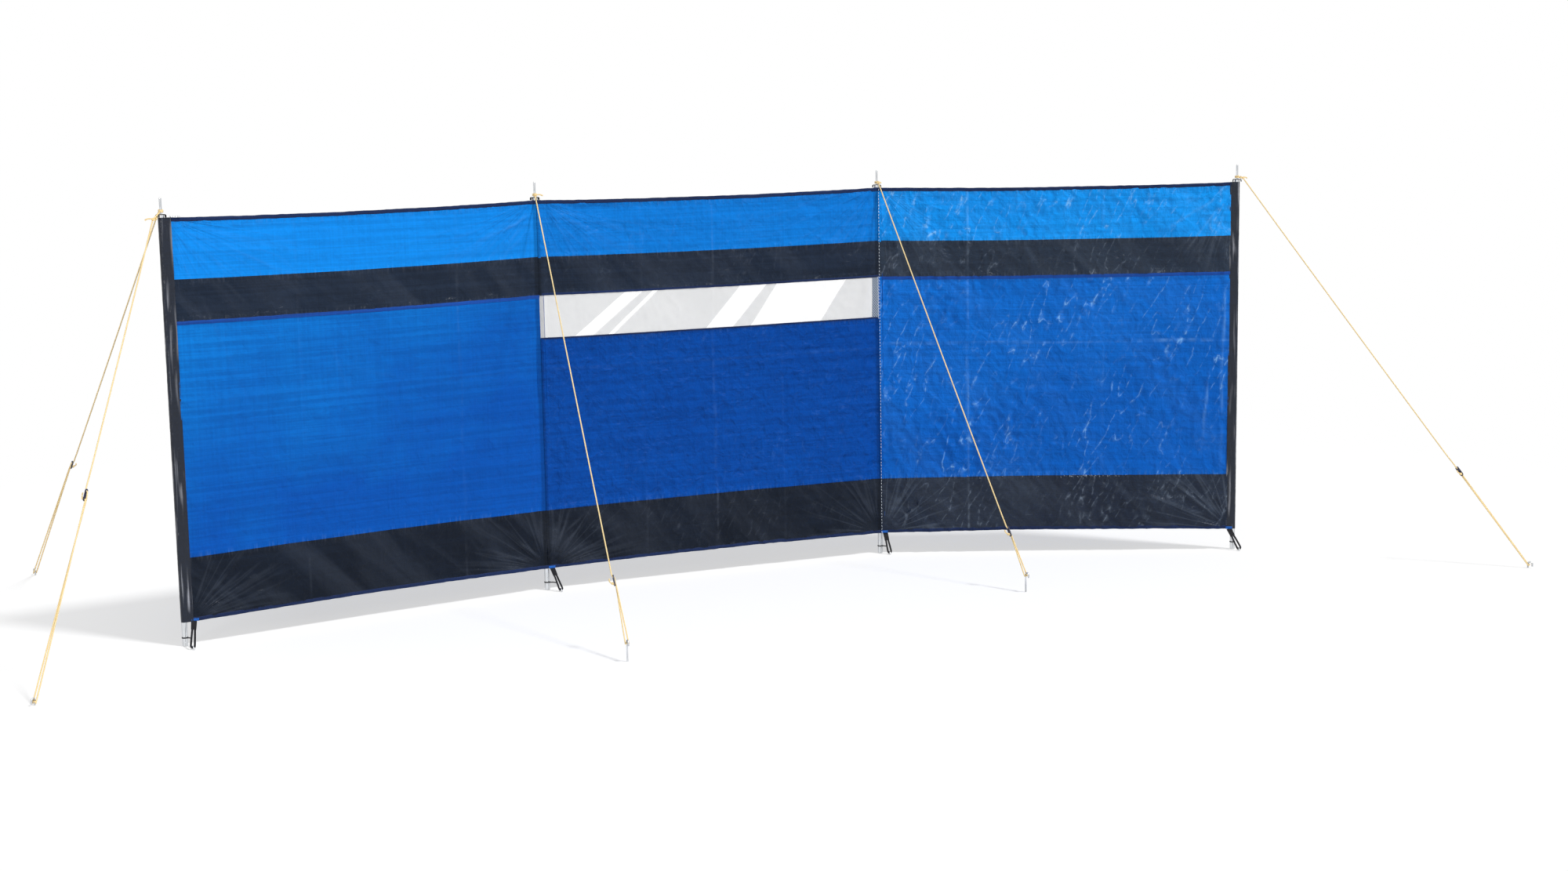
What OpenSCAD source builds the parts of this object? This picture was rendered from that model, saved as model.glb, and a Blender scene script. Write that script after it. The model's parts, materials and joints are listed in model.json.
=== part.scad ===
// Beach windbreak: three bays of woven sheeting on four steel poles, held by
// five guy lines and pegs. Everything is drawn from ground level up.
// Millimetres, +Z up. The origin is the middle of the foot of pole 2, and the
// middle bay runs along +X. The front of the windbreak faces -Y.

/* [Layout] */
// Distance between neighbouring poles
bay_w = 1430; // [800:10:2000]
// How far the left bay swings forward out of the line of the middle bay
left_turn = 10; // [0:1:30]
// How far the right bay swings forward out of the line of the middle bay
right_turn = 26; // [0:1:35]

/* [Sheeting] */
// Height of the sheeting from its top edge to its bottom edge
cloth_h = 1400; // [1000:10:1800]
// Clear height under the sheeting
ground_gap = 85; // [60:1:150]
// Thickness of the sheeting as drawn here
cloth_t = 2.5; // [1.5:0.5:4]
// Height of the upper blue strip, with its hem
upper_h = 215; // [120:5:300]
// Height of the dark band
band_h = 140; // [60:5:250]
// Height of the clear window in the middle bay
window_h = 165; // [80:5:300]
// Height of the dark skirt, with its hem
skirt_h = 225; // [120:5:300]
// Height of the bound hems
hem_h = 14; // [8:1:25]
// How far a hem stands proud of the sheeting, front and back
hem_proud = 0.5; // [0.2:0.1:1.5]

/* [Poles] */
// Diameter of a pole
tube_d = 19; // [16:1:28]
// Wall thickness of a pole
tube_wall = 1.2; // [0.8:0.1:2]
// How far a pole stands above the sheeting
tube_rise = 9; // [6:1:20]
// Height of the bevel at the foot of a pole
foot_bevel = 1.5; // [0.5:0.5:3]
// Diameter of the collar of a spike, where the straps and lines sit
collar_d = 9; // [8:0.5:12]
// Height of the collar above the pole
collar_h = 16; // [12:1:24]
// Diameter of the free end of a spike
spike_d = 8; // [6:0.5:10]
// Length of the free end of a spike, below its round tip
spike_len = 39; // [20:1:60]
// Depth of the plug that holds a spike in its pole
plug_len = 25; // [15:1:40]

/* [Sleeves] */
// Wall thickness of a sleeve as drawn here
sleeve_wall = 2; // [1.5:0.5:3]
// Reach of an end sleeve from its pole to the sheeting
end_wing = 29; // [18:1:50]
// Reach of a middle sleeve from its pole to the sheeting, each way
mid_wing = 19; // [16:1:40]

/* [Straps] */
// Width of the webbing of the top straps
strap_w = 14; // [12:1:16]
// Thickness of the webbing
strap_t = 2; // [1.5:0.5:3]
// Span of a top strap over its pole
strap_span = 34; // [30:1:50]
// Width of a peg loop
loop_w = 22; // [18:1:30]
// Width of the two runs of a peg loop
loop_run = 5.5; // [4:0.5:7]
// Height of the solid upper part of a peg loop
loop_top_h = 24; // [12:1:35]
// Height of the band that ties a peg loop to its pole
band_z = 28; // [20:1:40]
// Width of that band
band_w = 4; // [3:0.5:8]

/* [Guy lines and pegs] */
// Diameter of the cord
cord_d = 3; // [2:0.5:5]
// Diameter of the knots
knot_d = 8; // [6:0.5:12]
// Length of a runner
runner_len = 42; // [25:1:60]
// Width of a runner
runner_w = 13; // [9:1:20]
// Thickness of a runner
runner_t = 3; // [2:0.5:5]
// Diameter of the two holes in a runner
runner_hole_d = 5; // [3:0.5:6]
// Diameter of the rod of a guy peg
peg_d = 6; // [4:0.5:8]
// Radius of the bend of its hook
hook_r = 8; // [7:0.5:14]
// Length of the turned-down end of its hook
hook_drop = 9; // [4:1:15]
// Diameter of the rod of a foot peg
foot_peg_d = 5; // [4:0.5:6]
// Radius of the bend of a foot peg
foot_peg_r = 11; // [10.5:0.5:14]

/* [Fits] */
// Gap between soft pieces, and between a sleeve and its pole
soft_fit = 0.3; // [0.2:0.05:0.5]
// Gap between a cord and what it passes
cord_fit = 0.3; // [0.2:0.05:0.5]

/* [Hidden] */
$fn = 48;
cord_fn = 16;
ring_fn = 24;
rod_fn = 32;

// Colours
dark_cloth = [0.10, 0.12, 0.16];
blue_cloth = [0.03, 0.34, 0.75];
bright_cloth = [0.03, 0.42, 0.86];
hem_cloth = [0.05, 0.14, 0.38];
clear_cloth = [0.92, 0.93, 0.94];
black_webbing = [0.04, 0.04, 0.05];
yellow_cord = [0.95, 0.62, 0.15];
navy_plastic = [0.08, 0.10, 0.20];

// Poles and bays are counted from the left, from 0.
pole_count = 4;
window_bay = 1;

// Direction of each bay, and of each pole between its bays
bay_az = [left_turn, 0, -right_turn];
pole_az = [left_turn, left_turn / 2, -right_turn / 2, -right_turn];

function ahead(az) = [cos(az), sin(az)];

// Place of each pole's foot, stepped out from pole 2
foot_at = [
    -bay_w * ahead(bay_az[0]),
    [0, 0],
    bay_w * ahead(bay_az[1]),
    bay_w * ahead(bay_az[1]) + bay_w * ahead(bay_az[2])
];

// Levels of the sheeting
cloth_top = ground_gap + cloth_h;
band_top = cloth_top - upper_h;
main_top = band_top - band_h;
window_foot = main_top - window_h;
skirt_top = ground_gap + skirt_h;

// Levels and radii of the poles and spikes
tube_r = tube_d / 2;
tube_top = cloth_top + tube_rise;
collar_r = collar_d / 2;
collar_top = tube_top + collar_h;
spike_r = spike_d / 2;
end_wall = 4;
plug_fit = 0.05;

// The sleeve's bore and outside, and the plane of the sheeting in front of it
bore_r = tube_r + soft_fit;
sleeve_r = bore_r + sleeve_wall;
cloth_front = -sleeve_r - cloth_t;

// Reach of the two wings of each sleeve, towards the left and the right
wing_left = [0, mid_wing, mid_wing, end_wing];
wing_right = [end_wing, mid_wing, mid_wing, 0];

// Top straps: a bar over each pole on two legs
bar_foot = tube_top + soft_fit;
strap_hole_r = collar_r + soft_fit;

// Peg loops: how far beside its pole each one hangs and is pegged down, and
// how far in front of the sheeting that is
loop_hang = [31, 17, 18, -17];
loop_peg = [2, 30, 29, 20];
loop_out = [55, 45, 25, 25];
loop_drop = ground_gap - soft_fit;
foot_peg_rod_r = foot_peg_d / 2;
loop_lift = foot_peg_r - foot_peg_rod_r - loop_run - 2 * soft_fit;
loop_end_r = loop_w / 2;
loop_back = cloth_front + strap_t;

// A loop leans back from its peg to the hem, and slants to one side about the
// middle of its round end; its own thickness is kept below the hem
function loop_lean(i) = atan2(loop_out[i], loop_drop - loop_lift);
function loop_rise(i) =
    (loop_drop - loop_lift) / cos(loop_lean(i)) - strap_t * tan(loop_lean(i));
function loop_slant(i) =
    atan2(loop_hang[i] - loop_peg[i], loop_rise(i) - loop_end_r);
function loop_foot(i) = [loop_peg[i], loop_back - loop_out[i]];

// Where the nearer run of a loop passes at the height of its band
function band_rise(i) = (band_z - loop_lift) / cos(loop_lean(i));
function band_x(i) = loop_peg[i] + (band_rise(i) - loop_end_r) * tan(loop_slant(i));
function band_y(i) = loop_foot(i)[1] + band_rise(i) * sin(loop_lean(i));
function tie_at(i) =
    [band_x(i) - sign(band_x(i)) * (loop_w - loop_run) / 2, band_y(i)];

// Guy lines: the pole of each, its direction, how far out its peg stands, how
// high that peg stands, and how far out and down its upper knot hangs
guy_pole = [0, 0, 1, 2, 3];
guy_az = [102, -135, -96, -81, -48];
guy_reach = [1545, 805, 1195, 925, 1150];
peg_stand = [26, 26, 76, 76, 26];
knot_out = [40, 45, 13, 13, 24];
knot_drop = [20, 22, 0, 0, 3];
ring_step = [1, 0, 0, 0, 0];
ring_lift = 7;
guy_count = len(guy_pole);

// Distance of each runner from its peg, measured along the line, and how far up
// the runner the cord is gripped, as a share of its length
runner_at = [690, 660, 215, 160, 420];
grip_share = 0.8;
runner_grip = grip_share * runner_len;

// Radii of the cord: along its runs, where it turns behind its peg, and in the
// ring that is drawn tight round the collar
bend_share = 0.75;
ring_share = 0.6;
cord_r = cord_d / 2;
peg_r = peg_d / 2;
bend_r = bend_share * cord_d;
ring_cord_r = ring_share * cord_d;
ring_z = bar_foot + strap_t + ring_lift;
spike_ring_r = collar_r + cord_fit + ring_cord_r;
peg_ring_r = peg_r + cord_fit + cord_r;

function flat(p, z) = [p[0], p[1], z];
function peg_at(g) = foot_at[guy_pole[g]] + guy_reach[g] * ahead(guy_az[g]);
function hold_z(g) = peg_stand[g] - peg_r - hook_r - cord_r;
function hold_at(g) = flat(peg_at(g), hold_z(g));
function ring_at(g) =
    flat(foot_at[guy_pole[g]], ring_z + ring_step[g] * (2 * ring_cord_r + cord_fit));
function knot_at(g) =
    ring_at(g) + flat(knot_out[g] * ahead(guy_az[g]), -knot_drop[g]);
function line_len(g) = norm(knot_at(g) - hold_at(g));
// How far across the line its front run lies at the runner
function front_y(g) = peg_ring_r * (1 - runner_at[g] / line_len(g));
function line_tilt(g) = acos((knot_at(g) - hold_at(g))[2] / line_len(g));

module at_pole(i) {
    translate(flat(foot_at[i], 0)) rotate([0, 0, pole_az[i]]) children();
}

module along_bay(i) {
    translate(flat(foot_at[i], 0)) rotate([0, 0, bay_az[i]]) children();
}

// The line's own frame: from the peg, +Z up the line and Y level across it
module along_guy(g) {
    translate(hold_at(g)) rotate([0, line_tilt(g), guy_az[g] + 180]) children();
}

module strand(from, to) {
    run = to - from;
    translate(from)
        rotate([0, acos(run[2] / norm(run)), atan2(run[1], run[0])])
            cylinder(h = norm(run), r = cord_r, $fn = cord_fn);
}

module pole(i) {
    color("silver") at_pole(i) difference() {
        union() {
            cylinder(h = foot_bevel, r1 = tube_r - foot_bevel, r2 = tube_r);
            translate([0, 0, foot_bevel]) cylinder(h = tube_top - foot_bevel, r = tube_r);
        }
        translate([0, 0, end_wall]) cylinder(h = tube_top, r = tube_r - tube_wall);
    }
}

// A plug in the pole, a collar above it, and the free end with its round tip
module spike(i) {
    color("gainsboro") at_pole(i) translate([0, 0, tube_top]) {
        translate([0, 0, -plug_len])
            cylinder(h = plug_len, r = tube_r - tube_wall - plug_fit);
        cylinder(h = collar_h, r = collar_r);
        translate([0, 0, collar_h]) cylinder(h = spike_len, r = spike_r);
        translate([0, 0, collar_h + spike_len]) intersection() {
            sphere(r = spike_r);
            cylinder(h = spike_r, r = spike_d);
        }
    }
}

// A tube of cloth round the pole, with a wing in the plane of each bay
module sleeve(i) {
    at_end = i == 0 || i == pole_count - 1;
    color(at_end ? dark_cloth : blue_cloth)
        translate(flat(foot_at[i], ground_gap)) linear_extrude(cloth_h) difference() {
            union() {
                circle(r = sleeve_r);
                if (wing_left[i] > 0)
                    rotate(bay_az[i - 1])
                        translate([-wing_left[i], cloth_front])
                            square([wing_left[i], cloth_t + soft_fit]);
                if (wing_right[i] > 0)
                    rotate(bay_az[i])
                        translate([0, cloth_front])
                            square([wing_right[i], cloth_t + soft_fit]);
            }
            circle(r = bore_r);
        }
}

// One flat piece of sheeting in a bay, between two levels
module sheet(i, foot, top, proud = 0) {
    start = wing_right[i] + soft_fit;
    stop = bay_w - wing_left[i + 1] - soft_fit;
    along_bay(i)
        translate([start, cloth_front - proud, foot + soft_fit / 2])
            cube([stop - start, cloth_t + 2 * proud, top - foot - soft_fit]);
}

module top_hem(i) {
    color(hem_cloth) sheet(i, cloth_top - hem_h, cloth_top, hem_proud);
}

module upper_strip(i) {
    color(bright_cloth) sheet(i, band_top, cloth_top - hem_h);
}

module dark_band(i) {
    color(dark_cloth) sheet(i, main_top, band_top);
}

module window_panel() {
    color(clear_cloth) sheet(window_bay, window_foot, main_top);
}

module main_panel(i) {
    color(blue_cloth)
        sheet(i, skirt_top, i == window_bay ? window_foot : main_top);
}

module skirt(i) {
    color(dark_cloth) sheet(i, ground_gap + hem_h, skirt_top);
}

module bottom_hem(i) {
    color(hem_cloth) sheet(i, ground_gap, ground_gap + hem_h, hem_proud);
}

// A bar across the top of the pole, holed for the spike, on two legs
module top_strap(i) {
    leg_foot = cloth_top + soft_fit;
    color(black_webbing) at_pole(i) difference() {
        union() {
            translate([-strap_span / 2, -strap_w / 2, bar_foot])
                cube([strap_span, strap_w, strap_t]);
            for (side = [-1, 1])
                translate([side * (strap_span - strap_t) / 2, 0, leg_foot])
                    translate([-strap_t / 2, -strap_w / 2, 0])
                        cube([strap_t, strap_w, bar_foot - leg_foot + strap_t]);
        }
        cylinder(h = collar_top, r = strap_hole_r);
    }
}

module top_straps() {
    for (i = [0 : pole_count - 1]) top_strap(i);
}

// Flat webbing that hangs from the hem and opens into a long loop, with a
// narrow band that ties it to the pole
module peg_loop(i) {
    tie = tie_at(i);
    color(black_webbing) at_pole(i) {
        translate(flat(loop_foot(i), loop_lift)) rotate([90 - loop_lean(i), 0, 0])
            linear_extrude(strap_t) intersection() {
                translate([0, loop_end_r]) rotate(-loop_slant(i)) loop_outline();
                translate([-bay_w / 2, 0]) square([bay_w, loop_rise(i)]);
            }
        translate([0, 0, band_z]) linear_extrude(band_w) difference() {
            union() {
                circle(r = sleeve_r);
                rotate(atan2(tie[1], tie[0])) translate([0, -strap_t / 2])
                    square([norm(tie), strap_t]);
            }
            circle(r = bore_r);
        }
    }
}

// The webbing laid flat, upright from the middle of its round end, and longer
// than it hangs, so that it can be cut level under the hem
module loop_outline() {
    slot_r = loop_end_r - loop_run;
    difference() {
        union() {
            circle(r = loop_end_r);
            translate([-loop_end_r, 0]) square([loop_w, 2 * loop_drop]);
        }
        slot(slot_r, loop_drop - loop_top_h - loop_end_r - slot_r);
    }
}

// A slot with round ends, upright from the middle of its lower end
module slot(r, top) {
    circle(r = r);
    translate([0, top]) circle(r = r);
    translate([-r, 0]) square([2 * r, top]);
}

// A half ring that straddles the end of the loop
module foot_peg(i) {
    color("silver") at_pole(i)
        translate(flat(loop_foot(i), 0)) rotate([90, 0, 90])
            rotate_extrude(angle = 180) translate([foot_peg_r, 0])
                circle(r = foot_peg_rod_r, $fn = ring_fn);
}

module foot_pegs() {
    for (i = [0 : pole_count - 1]) foot_peg(i);
}

// The cord: a ring round the collar of the spike, a short run to the upper
// knot, the long run down past one side of the peg, a turn behind the peg, and
// the run back up to the runner
module guy(g) {
    turn_z = -peg_ring_r / sin(line_tilt(g));
    back_y = front_y(g) - cord_d - 2 * cord_fit - runner_t;
    ring_edge = ring_at(g) + flat(spike_ring_r * ahead(guy_az[g]), 0);
    color(yellow_cord) {
        translate(ring_at(g)) rotate_extrude() translate([spike_ring_r, 0])
            circle(r = ring_cord_r, $fn = ring_fn);
        strand(ring_edge, knot_at(g));
        translate(knot_at(g)) sphere(r = knot_d / 2, $fn = ring_fn);
        along_guy(g) {
            strand([0, peg_ring_r, turn_z], [0, 0, line_len(g)]);
            strand([0, -peg_ring_r, turn_z], [0, peg_ring_r, turn_z]);
            strand([0, -peg_ring_r, turn_z], [0, back_y, runner_at[g] + runner_grip]);
            for (side = [-1, 1])
                translate([0, side * peg_ring_r, turn_z]) sphere(r = bend_r, $fn = ring_fn);
        }
    }
}

// A plate with round ends and two holes, lying between the cord's two runs
module runner(g) {
    half = runner_w / 2;
    color(navy_plastic) along_guy(g)
        translate([0, front_y(g) - cord_r - cord_fit, runner_at[g]]) rotate([90, 0, 0])
            linear_extrude(runner_t) difference() {
                translate([0, half]) slot(half, runner_len - 2 * half);
                for (end = [half, runner_len - half])
                    translate([0, end]) circle(r = runner_hole_d / 2, $fn = ring_fn);
            }
}

module runners() {
    for (g = [0 : guy_count - 1]) runner(g);
}

// A rod with its top bent over into a hook that points away from the pole
module guy_peg(g) {
    bend_z = peg_stand[g] - peg_r - hook_r;
    color("silver") translate(flat(peg_at(g), 0)) rotate([0, 0, guy_az[g]]) {
        cylinder(h = bend_z, r = peg_r, $fn = rod_fn);
        translate([hook_r, 0, bend_z]) rotate([90, 0, 0]) rotate_extrude(angle = 180)
            translate([hook_r, 0]) circle(r = peg_r, $fn = rod_fn);
        translate([2 * hook_r, 0, bend_z - hook_drop])
            cylinder(h = hook_drop, r = peg_r, $fn = rod_fn);
    }
}

module guy_pegs() {
    for (g = [0 : guy_count - 1]) guy_peg(g);
}

pole(0);  // pole_1
pole(1);  // pole_2
pole(2);  // pole_3
pole(3);  // pole_4
spike(0);  // spike_1
spike(1);  // spike_2
spike(2);  // spike_3
spike(3);  // spike_4
sleeve(0);  // sleeve_1
sleeve(1);  // sleeve_2
sleeve(2);  // sleeve_3
sleeve(3);  // sleeve_4
top_hem(0);  // top_hem_1
top_hem(1);  // top_hem_2
top_hem(2);  // top_hem_3
upper_strip(0);  // upper_strip_1
upper_strip(1);  // upper_strip_2
upper_strip(2);  // upper_strip_3
dark_band(0);  // dark_band_1
dark_band(1);  // dark_band_2
dark_band(2);  // dark_band_3
window_panel();
main_panel(0);  // main_panel_1
main_panel(1);  // main_panel_2
main_panel(2);  // main_panel_3
skirt(0);  // skirt_1
skirt(1);  // skirt_2
skirt(2);  // skirt_3
bottom_hem(0);  // bottom_hem_1
bottom_hem(1);  // bottom_hem_2
bottom_hem(2);  // bottom_hem_3
top_straps();
peg_loop(0);  // peg_loop_1
peg_loop(1);  // peg_loop_2
peg_loop(2);  // peg_loop_3
peg_loop(3);  // peg_loop_4
foot_pegs();
guy(0);  // guy_1
guy(1);  // guy_2
guy(2);  // guy_3
guy(3);  // guy_4
guy(4);  // guy_5
runners();
guy_pegs();
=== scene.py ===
"""Beach windbreak: the looks of three bays of sheeting, their sleeves, straps, loops and guy lines,
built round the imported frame."""

import json
import math

import bpy
import numpy as np
from mathutils import Matrix, Vector


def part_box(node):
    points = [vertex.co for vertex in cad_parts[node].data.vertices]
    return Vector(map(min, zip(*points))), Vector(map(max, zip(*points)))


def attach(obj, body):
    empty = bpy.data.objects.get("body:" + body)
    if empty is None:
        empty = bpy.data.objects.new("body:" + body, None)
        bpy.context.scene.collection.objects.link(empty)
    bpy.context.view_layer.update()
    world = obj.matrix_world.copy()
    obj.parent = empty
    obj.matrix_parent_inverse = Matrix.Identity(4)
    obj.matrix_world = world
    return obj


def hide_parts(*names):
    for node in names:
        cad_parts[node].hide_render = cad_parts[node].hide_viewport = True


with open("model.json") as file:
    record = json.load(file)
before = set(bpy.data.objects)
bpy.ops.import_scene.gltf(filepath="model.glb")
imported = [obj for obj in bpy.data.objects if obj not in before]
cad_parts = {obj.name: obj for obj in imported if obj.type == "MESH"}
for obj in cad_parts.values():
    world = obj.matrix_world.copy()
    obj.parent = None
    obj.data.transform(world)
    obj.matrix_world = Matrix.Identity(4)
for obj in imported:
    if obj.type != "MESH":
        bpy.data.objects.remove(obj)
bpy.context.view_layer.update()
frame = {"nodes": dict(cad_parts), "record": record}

bl_info = {
    "name": "Beach Windbreak",
    "version": (1, 0, 0),
    "blender": (4, 5, 0),
    "location": "View3D > Sidebar > Windbreak",
    "description": "Builds the sheeting, sleeves, webbing and guy lines of a beach windbreak round its frame",
    "category": "Add Mesh",
}

BODY = "root"
UP = np.array([0.0, 0.0, 1.0])


# ---------------------------------------------------------------- the frame

def foot_mounts():
    """Places of the feet of the poles, from left to right."""
    found = {m["name"]: m["pos_m"] for m in frame["record"]["mounts"]}
    return np.array([found[f"pole_{i}_foot"] for i in (1, 2, 3, 4)], float)


def level(node, end):
    """Lower (0) or upper (1) level of a node, to the millimetre."""
    return round(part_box(node)[end].z, 3)


FEET = foot_mounts()
BAYS = (0, 1, 2)
WINDOW_BAY = 1
SPAN = float(np.linalg.norm(FEET[1] - FEET[0]))
ALONG = np.array([(FEET[i + 1] - FEET[i]) / SPAN for i in BAYS])
FRONT = np.stack([ALONG[:, 1], -ALONG[:, 0], np.zeros(3)], axis=1)

FOOT_EDGE = level("bottom_hem_2", 0)
HEM_TOP = level("bottom_hem_2", 1)
SKIRT_TOP = level("skirt_2", 1)
WINDOW_FOOT = level("main_panel_2", 1)
BAND_FOOT = level("window_panel", 1)
BAND_TOP = level("dark_band_2", 1)
STRIP_TOP = level("upper_strip_2", 1)
TOP_EDGE = level("top_hem_2", 1)
PLANE = -(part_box("main_panel_2")[0].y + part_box("main_panel_2")[1].y) / 2
TUBE_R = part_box("pole_2")[1].x
TUBE_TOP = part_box("pole_2")[1].z


def pole_turn(pole):
    """Angle between the two bays that meet at a pole, and none at an end pole."""
    if pole in (0, 3):
        return 0.0
    return math.acos(float(np.clip(ALONG[pole - 1] @ ALONG[pole], -1, 1)))


def pole_axes(pole):
    """Unit vectors along the windbreak and to its front at a pole, halfway between its bays."""
    a = ALONG[max(pole - 1, 0)] + ALONG[min(pole, 2)]
    a = a / np.linalg.norm(a)
    return a, np.array([a[1], -a[0], 0.0])


# ------------------------------------------------------------------ settings

def metres(**settings):
    """A setting that is a length."""
    return bpy.props.FloatProperty(unit="LENGTH", **settings)


def tint(**settings):
    """A setting that is a colour."""
    return bpy.props.FloatVectorProperty(subtype="COLOR", size=3, min=0, max=1, **settings)


class WindbreakCloth(bpy.types.PropertyGroup):
    """Sizes of the sheeting and of its creases."""

    step: metres(
        name="Grid step", description="Distance between the grid lines of a sheet",
        default=0.0066, min=0.003, max=0.03)
    thickness: metres(
        name="Thickness", description="Thickness of the sheeting",
        default=0.0008, min=0.0002, max=0.003)
    top_sag: metres(
        name="Top sag", description="How far the top edge dips between two poles",
        default=0.008, min=0.0, max=0.05)
    foot_rise: metres(
        name="Foot rise", description="How far the bottom edge rises between two poles",
        default=0.007, min=0.0, max=0.05)
    billow: metres(name="Billow", description="Height of the broad waves", default=0.016, min=0.0, max=0.05)
    fan: metres(
        name="Fans", description="Height of the creases that fan out from the corners",
        default=0.008, min=0.0, max=0.03)
    fold: metres(
        name="Folds", description="Height of the sharp lines left by packing",
        default=0.0032, min=0.0, max=0.01)
    crinkle: metres(
        name="Crinkle", description="Height of the small creases",
        default=0.0030, min=0.0, max=0.01)
    lap: metres(
        name="Lap", description="Overlap of two strips at their seam",
        default=0.004, min=0.0, max=0.02)
    end_reach: metres(
        name="End sleeve reach", description="Distance from an end pole to the seam of its sleeve",
        default=0.0293, min=0.01, max=0.06)
    pocket_reach: metres(
        name="Pocket reach", description="Distance from a middle pole to each seam of its pocket",
        default=0.019, min=0.015, max=0.05)


class WindbreakColours(bpy.types.PropertyGroup):
    """Colours of the cloths, threads, webbing and cords."""

    azure: tint(name="Azure", description="Upper strips", default=(0.005, 0.225, 0.74))
    royal: tint(name="Royal", description="Main panels", default=(0.003, 0.088, 0.43))
    charcoal: tint(
        name="Charcoal", description="Dark bands, skirts and end sleeves",
        default=(0.012, 0.021, 0.042))
    navy: tint(name="Navy", description="Bound hems", default=(0.004, 0.016, 0.070))
    webbing: tint(name="Webbing", description="Straps and peg loops", default=(0.006, 0.006, 0.008))
    cord: tint(name="Cord", description="Guy lines", default=(1.0, 0.76, 0.34))
    film: tint(name="Film", description="Clear window", default=(0.70, 0.705, 0.71))
    thread: tint(name="Thread", description="Light stitches", default=(0.74, 0.80, 0.88))
    plastic: tint(name="Runner", description="Runners", default=(0.008, 0.010, 0.030))
    steel: tint(name="Steel", description="Poles, spikes and pegs", default=(0.80, 0.82, 0.84))


class WindbreakCords(bpy.types.PropertyGroup):
    """Sizes of the cords and their knots."""

    radius: metres(
        name="Cord radius", description="Radius of a guy line",
        default=0.0024, min=0.0005, max=0.004)
    knot: metres(
        name="Knot size", description="Scale of a knot's loops",
        default=0.0017, min=0.0005, max=0.005)
    sag: metres(
        name="Sag", description="How far a taut line dips at its middle",
        default=0.004, min=0.0, max=0.02)
    tail: metres(
        name="Tail", description="Length of the loose end beyond a knot",
        default=0.028, min=0.0, max=0.1)


class WindbreakStage(bpy.types.PropertyGroup):
    """Camera, lamps and sky."""

    camera_at: bpy.props.FloatVectorProperty(
        name="Camera", description="Place of the camera",
        subtype="TRANSLATION", unit="LENGTH", size=3, default=(-2.7302, -8.1789, 1.8861))
    heading: bpy.props.FloatProperty(
        name="Heading", description="Turn of the camera to the right of straight ahead",
        default=math.radians(24.551), subtype="ANGLE")
    tilt: bpy.props.FloatProperty(
        name="Tilt", description="How far the camera looks down",
        default=math.radians(8.653), subtype="ANGLE")
    roll: bpy.props.FloatProperty(
        name="Roll", description="Roll of the camera",
        default=math.radians(-0.956), subtype="ANGLE")
    lens: bpy.props.FloatProperty(
        name="Lens", description="Focal length in millimetres",
        default=52.55, min=10, max=200)
    key: bpy.props.FloatProperty(
        name="Key light", description="Strength of the key light",
        default=2.7, min=0.0, max=20.0)
    side: bpy.props.FloatProperty(
        name="Side lamp", description="Power of the lamp at the left",
        default=60.0, min=0.0, subtype="POWER")
    fill: bpy.props.FloatProperty(
        name="Sky", description="Strength of the soft light all round",
        default=0.38, min=0.0, max=2.0)


# ------------------------------------------------------------------- meshes

def lattice(i, j, seed):
    """A random number from 0 to 1 at each whole-number corner, by mixing the bits of its two indices."""
    h = i.astype(np.uint64) * 374761393 + j.astype(np.uint64) * 668265263
    h = (h + np.uint64(seed * 974634777)) & 0xFFFFFFFF
    h = ((h ^ (h >> 13)) * 1274126177) & 0xFFFFFFFF
    return ((h ^ (h >> 16)) & 0xFFFF) / 65535.0


def noise(x, y, seed=0):
    """Smooth noise from -1 to 1: a random slope at each corner of a unit square, blended across it
    by a fifth-power ease."""
    x, y = np.broadcast_arrays(np.asarray(x, float) + 512, np.asarray(y, float) + 512)
    i, j = np.floor(x).astype(np.int64), np.floor(y).astype(np.int64)
    u, v = x - i, y - j

    def slope(di, dj):
        a = lattice(i + di, j + dj, seed) * 2 * np.pi
        return np.cos(a) * (u - di) + np.sin(a) * (v - dj)

    ease_u, ease_v = (t ** 3 * (t * (6 * t - 15) + 10) for t in (u, v))
    low = slope(0, 0) * (1 - ease_u) + slope(1, 0) * ease_u
    high = slope(0, 1) * (1 - ease_u) + slope(1, 1) * ease_u
    return 1.5 * (low * (1 - ease_v) + high * ease_v)


def ridge(n, sharpness=3.0):
    """Turns noise into narrow ridges along the lines where it is zero."""
    return np.clip(1 - 1.6 * np.abs(n), 0, 1) ** sharpness


def unit(v):
    """Vectors scaled to length 1."""
    return v / np.maximum(np.linalg.norm(v, axis=-1, keepdims=True), 1e-12)


class Patch:
    """Points, four-sided faces with their UV corners, caps with many sides, and the strength of the
    painted highlight that each point carries along the crests of creases."""

    def __init__(self, points, quads, corners, caps=(), crest_highlight=None):
        self.points = np.asarray(points, float).reshape(-1, 3)
        self.crest_highlight = crest_highlight
        self.quads = np.asarray(quads, np.int64).reshape(-1, 4)
        self.corners = np.asarray(corners, float).reshape(-1, 4, 2)
        self.caps = [np.asarray(c, np.int64) for c in caps]


def joined(patches):
    """Several patches as one."""
    start = np.cumsum([0] + [len(p.points) for p in patches])
    return Patch(
        np.concatenate([p.points for p in patches]),
        np.concatenate([p.quads + s for p, s in zip(patches, start)]),
        np.concatenate([p.corners for p in patches]),
        [c + s for p, s in zip(patches, start) for c in p.caps],
    )


def grid_faces(rows, cols, wrap_rows=False, wrap_cols=False, start=0, flip=False):
    """Quads of a grid of points, with the grid indices of their corners, which aren't wrapped."""
    i, j = np.meshgrid(np.arange(rows - (not wrap_rows)), np.arange(cols - (not wrap_cols)), indexing="ij")
    i, j = i.ravel(), j.ravel()
    order = ((0, 0), (1, 0), (1, 1), (0, 1))
    if flip:
        order = order[::-1]
    ci = np.stack([i + di for di, dj in order], axis=1)
    cj = np.stack([j + dj for di, dj in order], axis=1)
    return start + (ci % rows) * cols + (cj % cols), ci, cj


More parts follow.
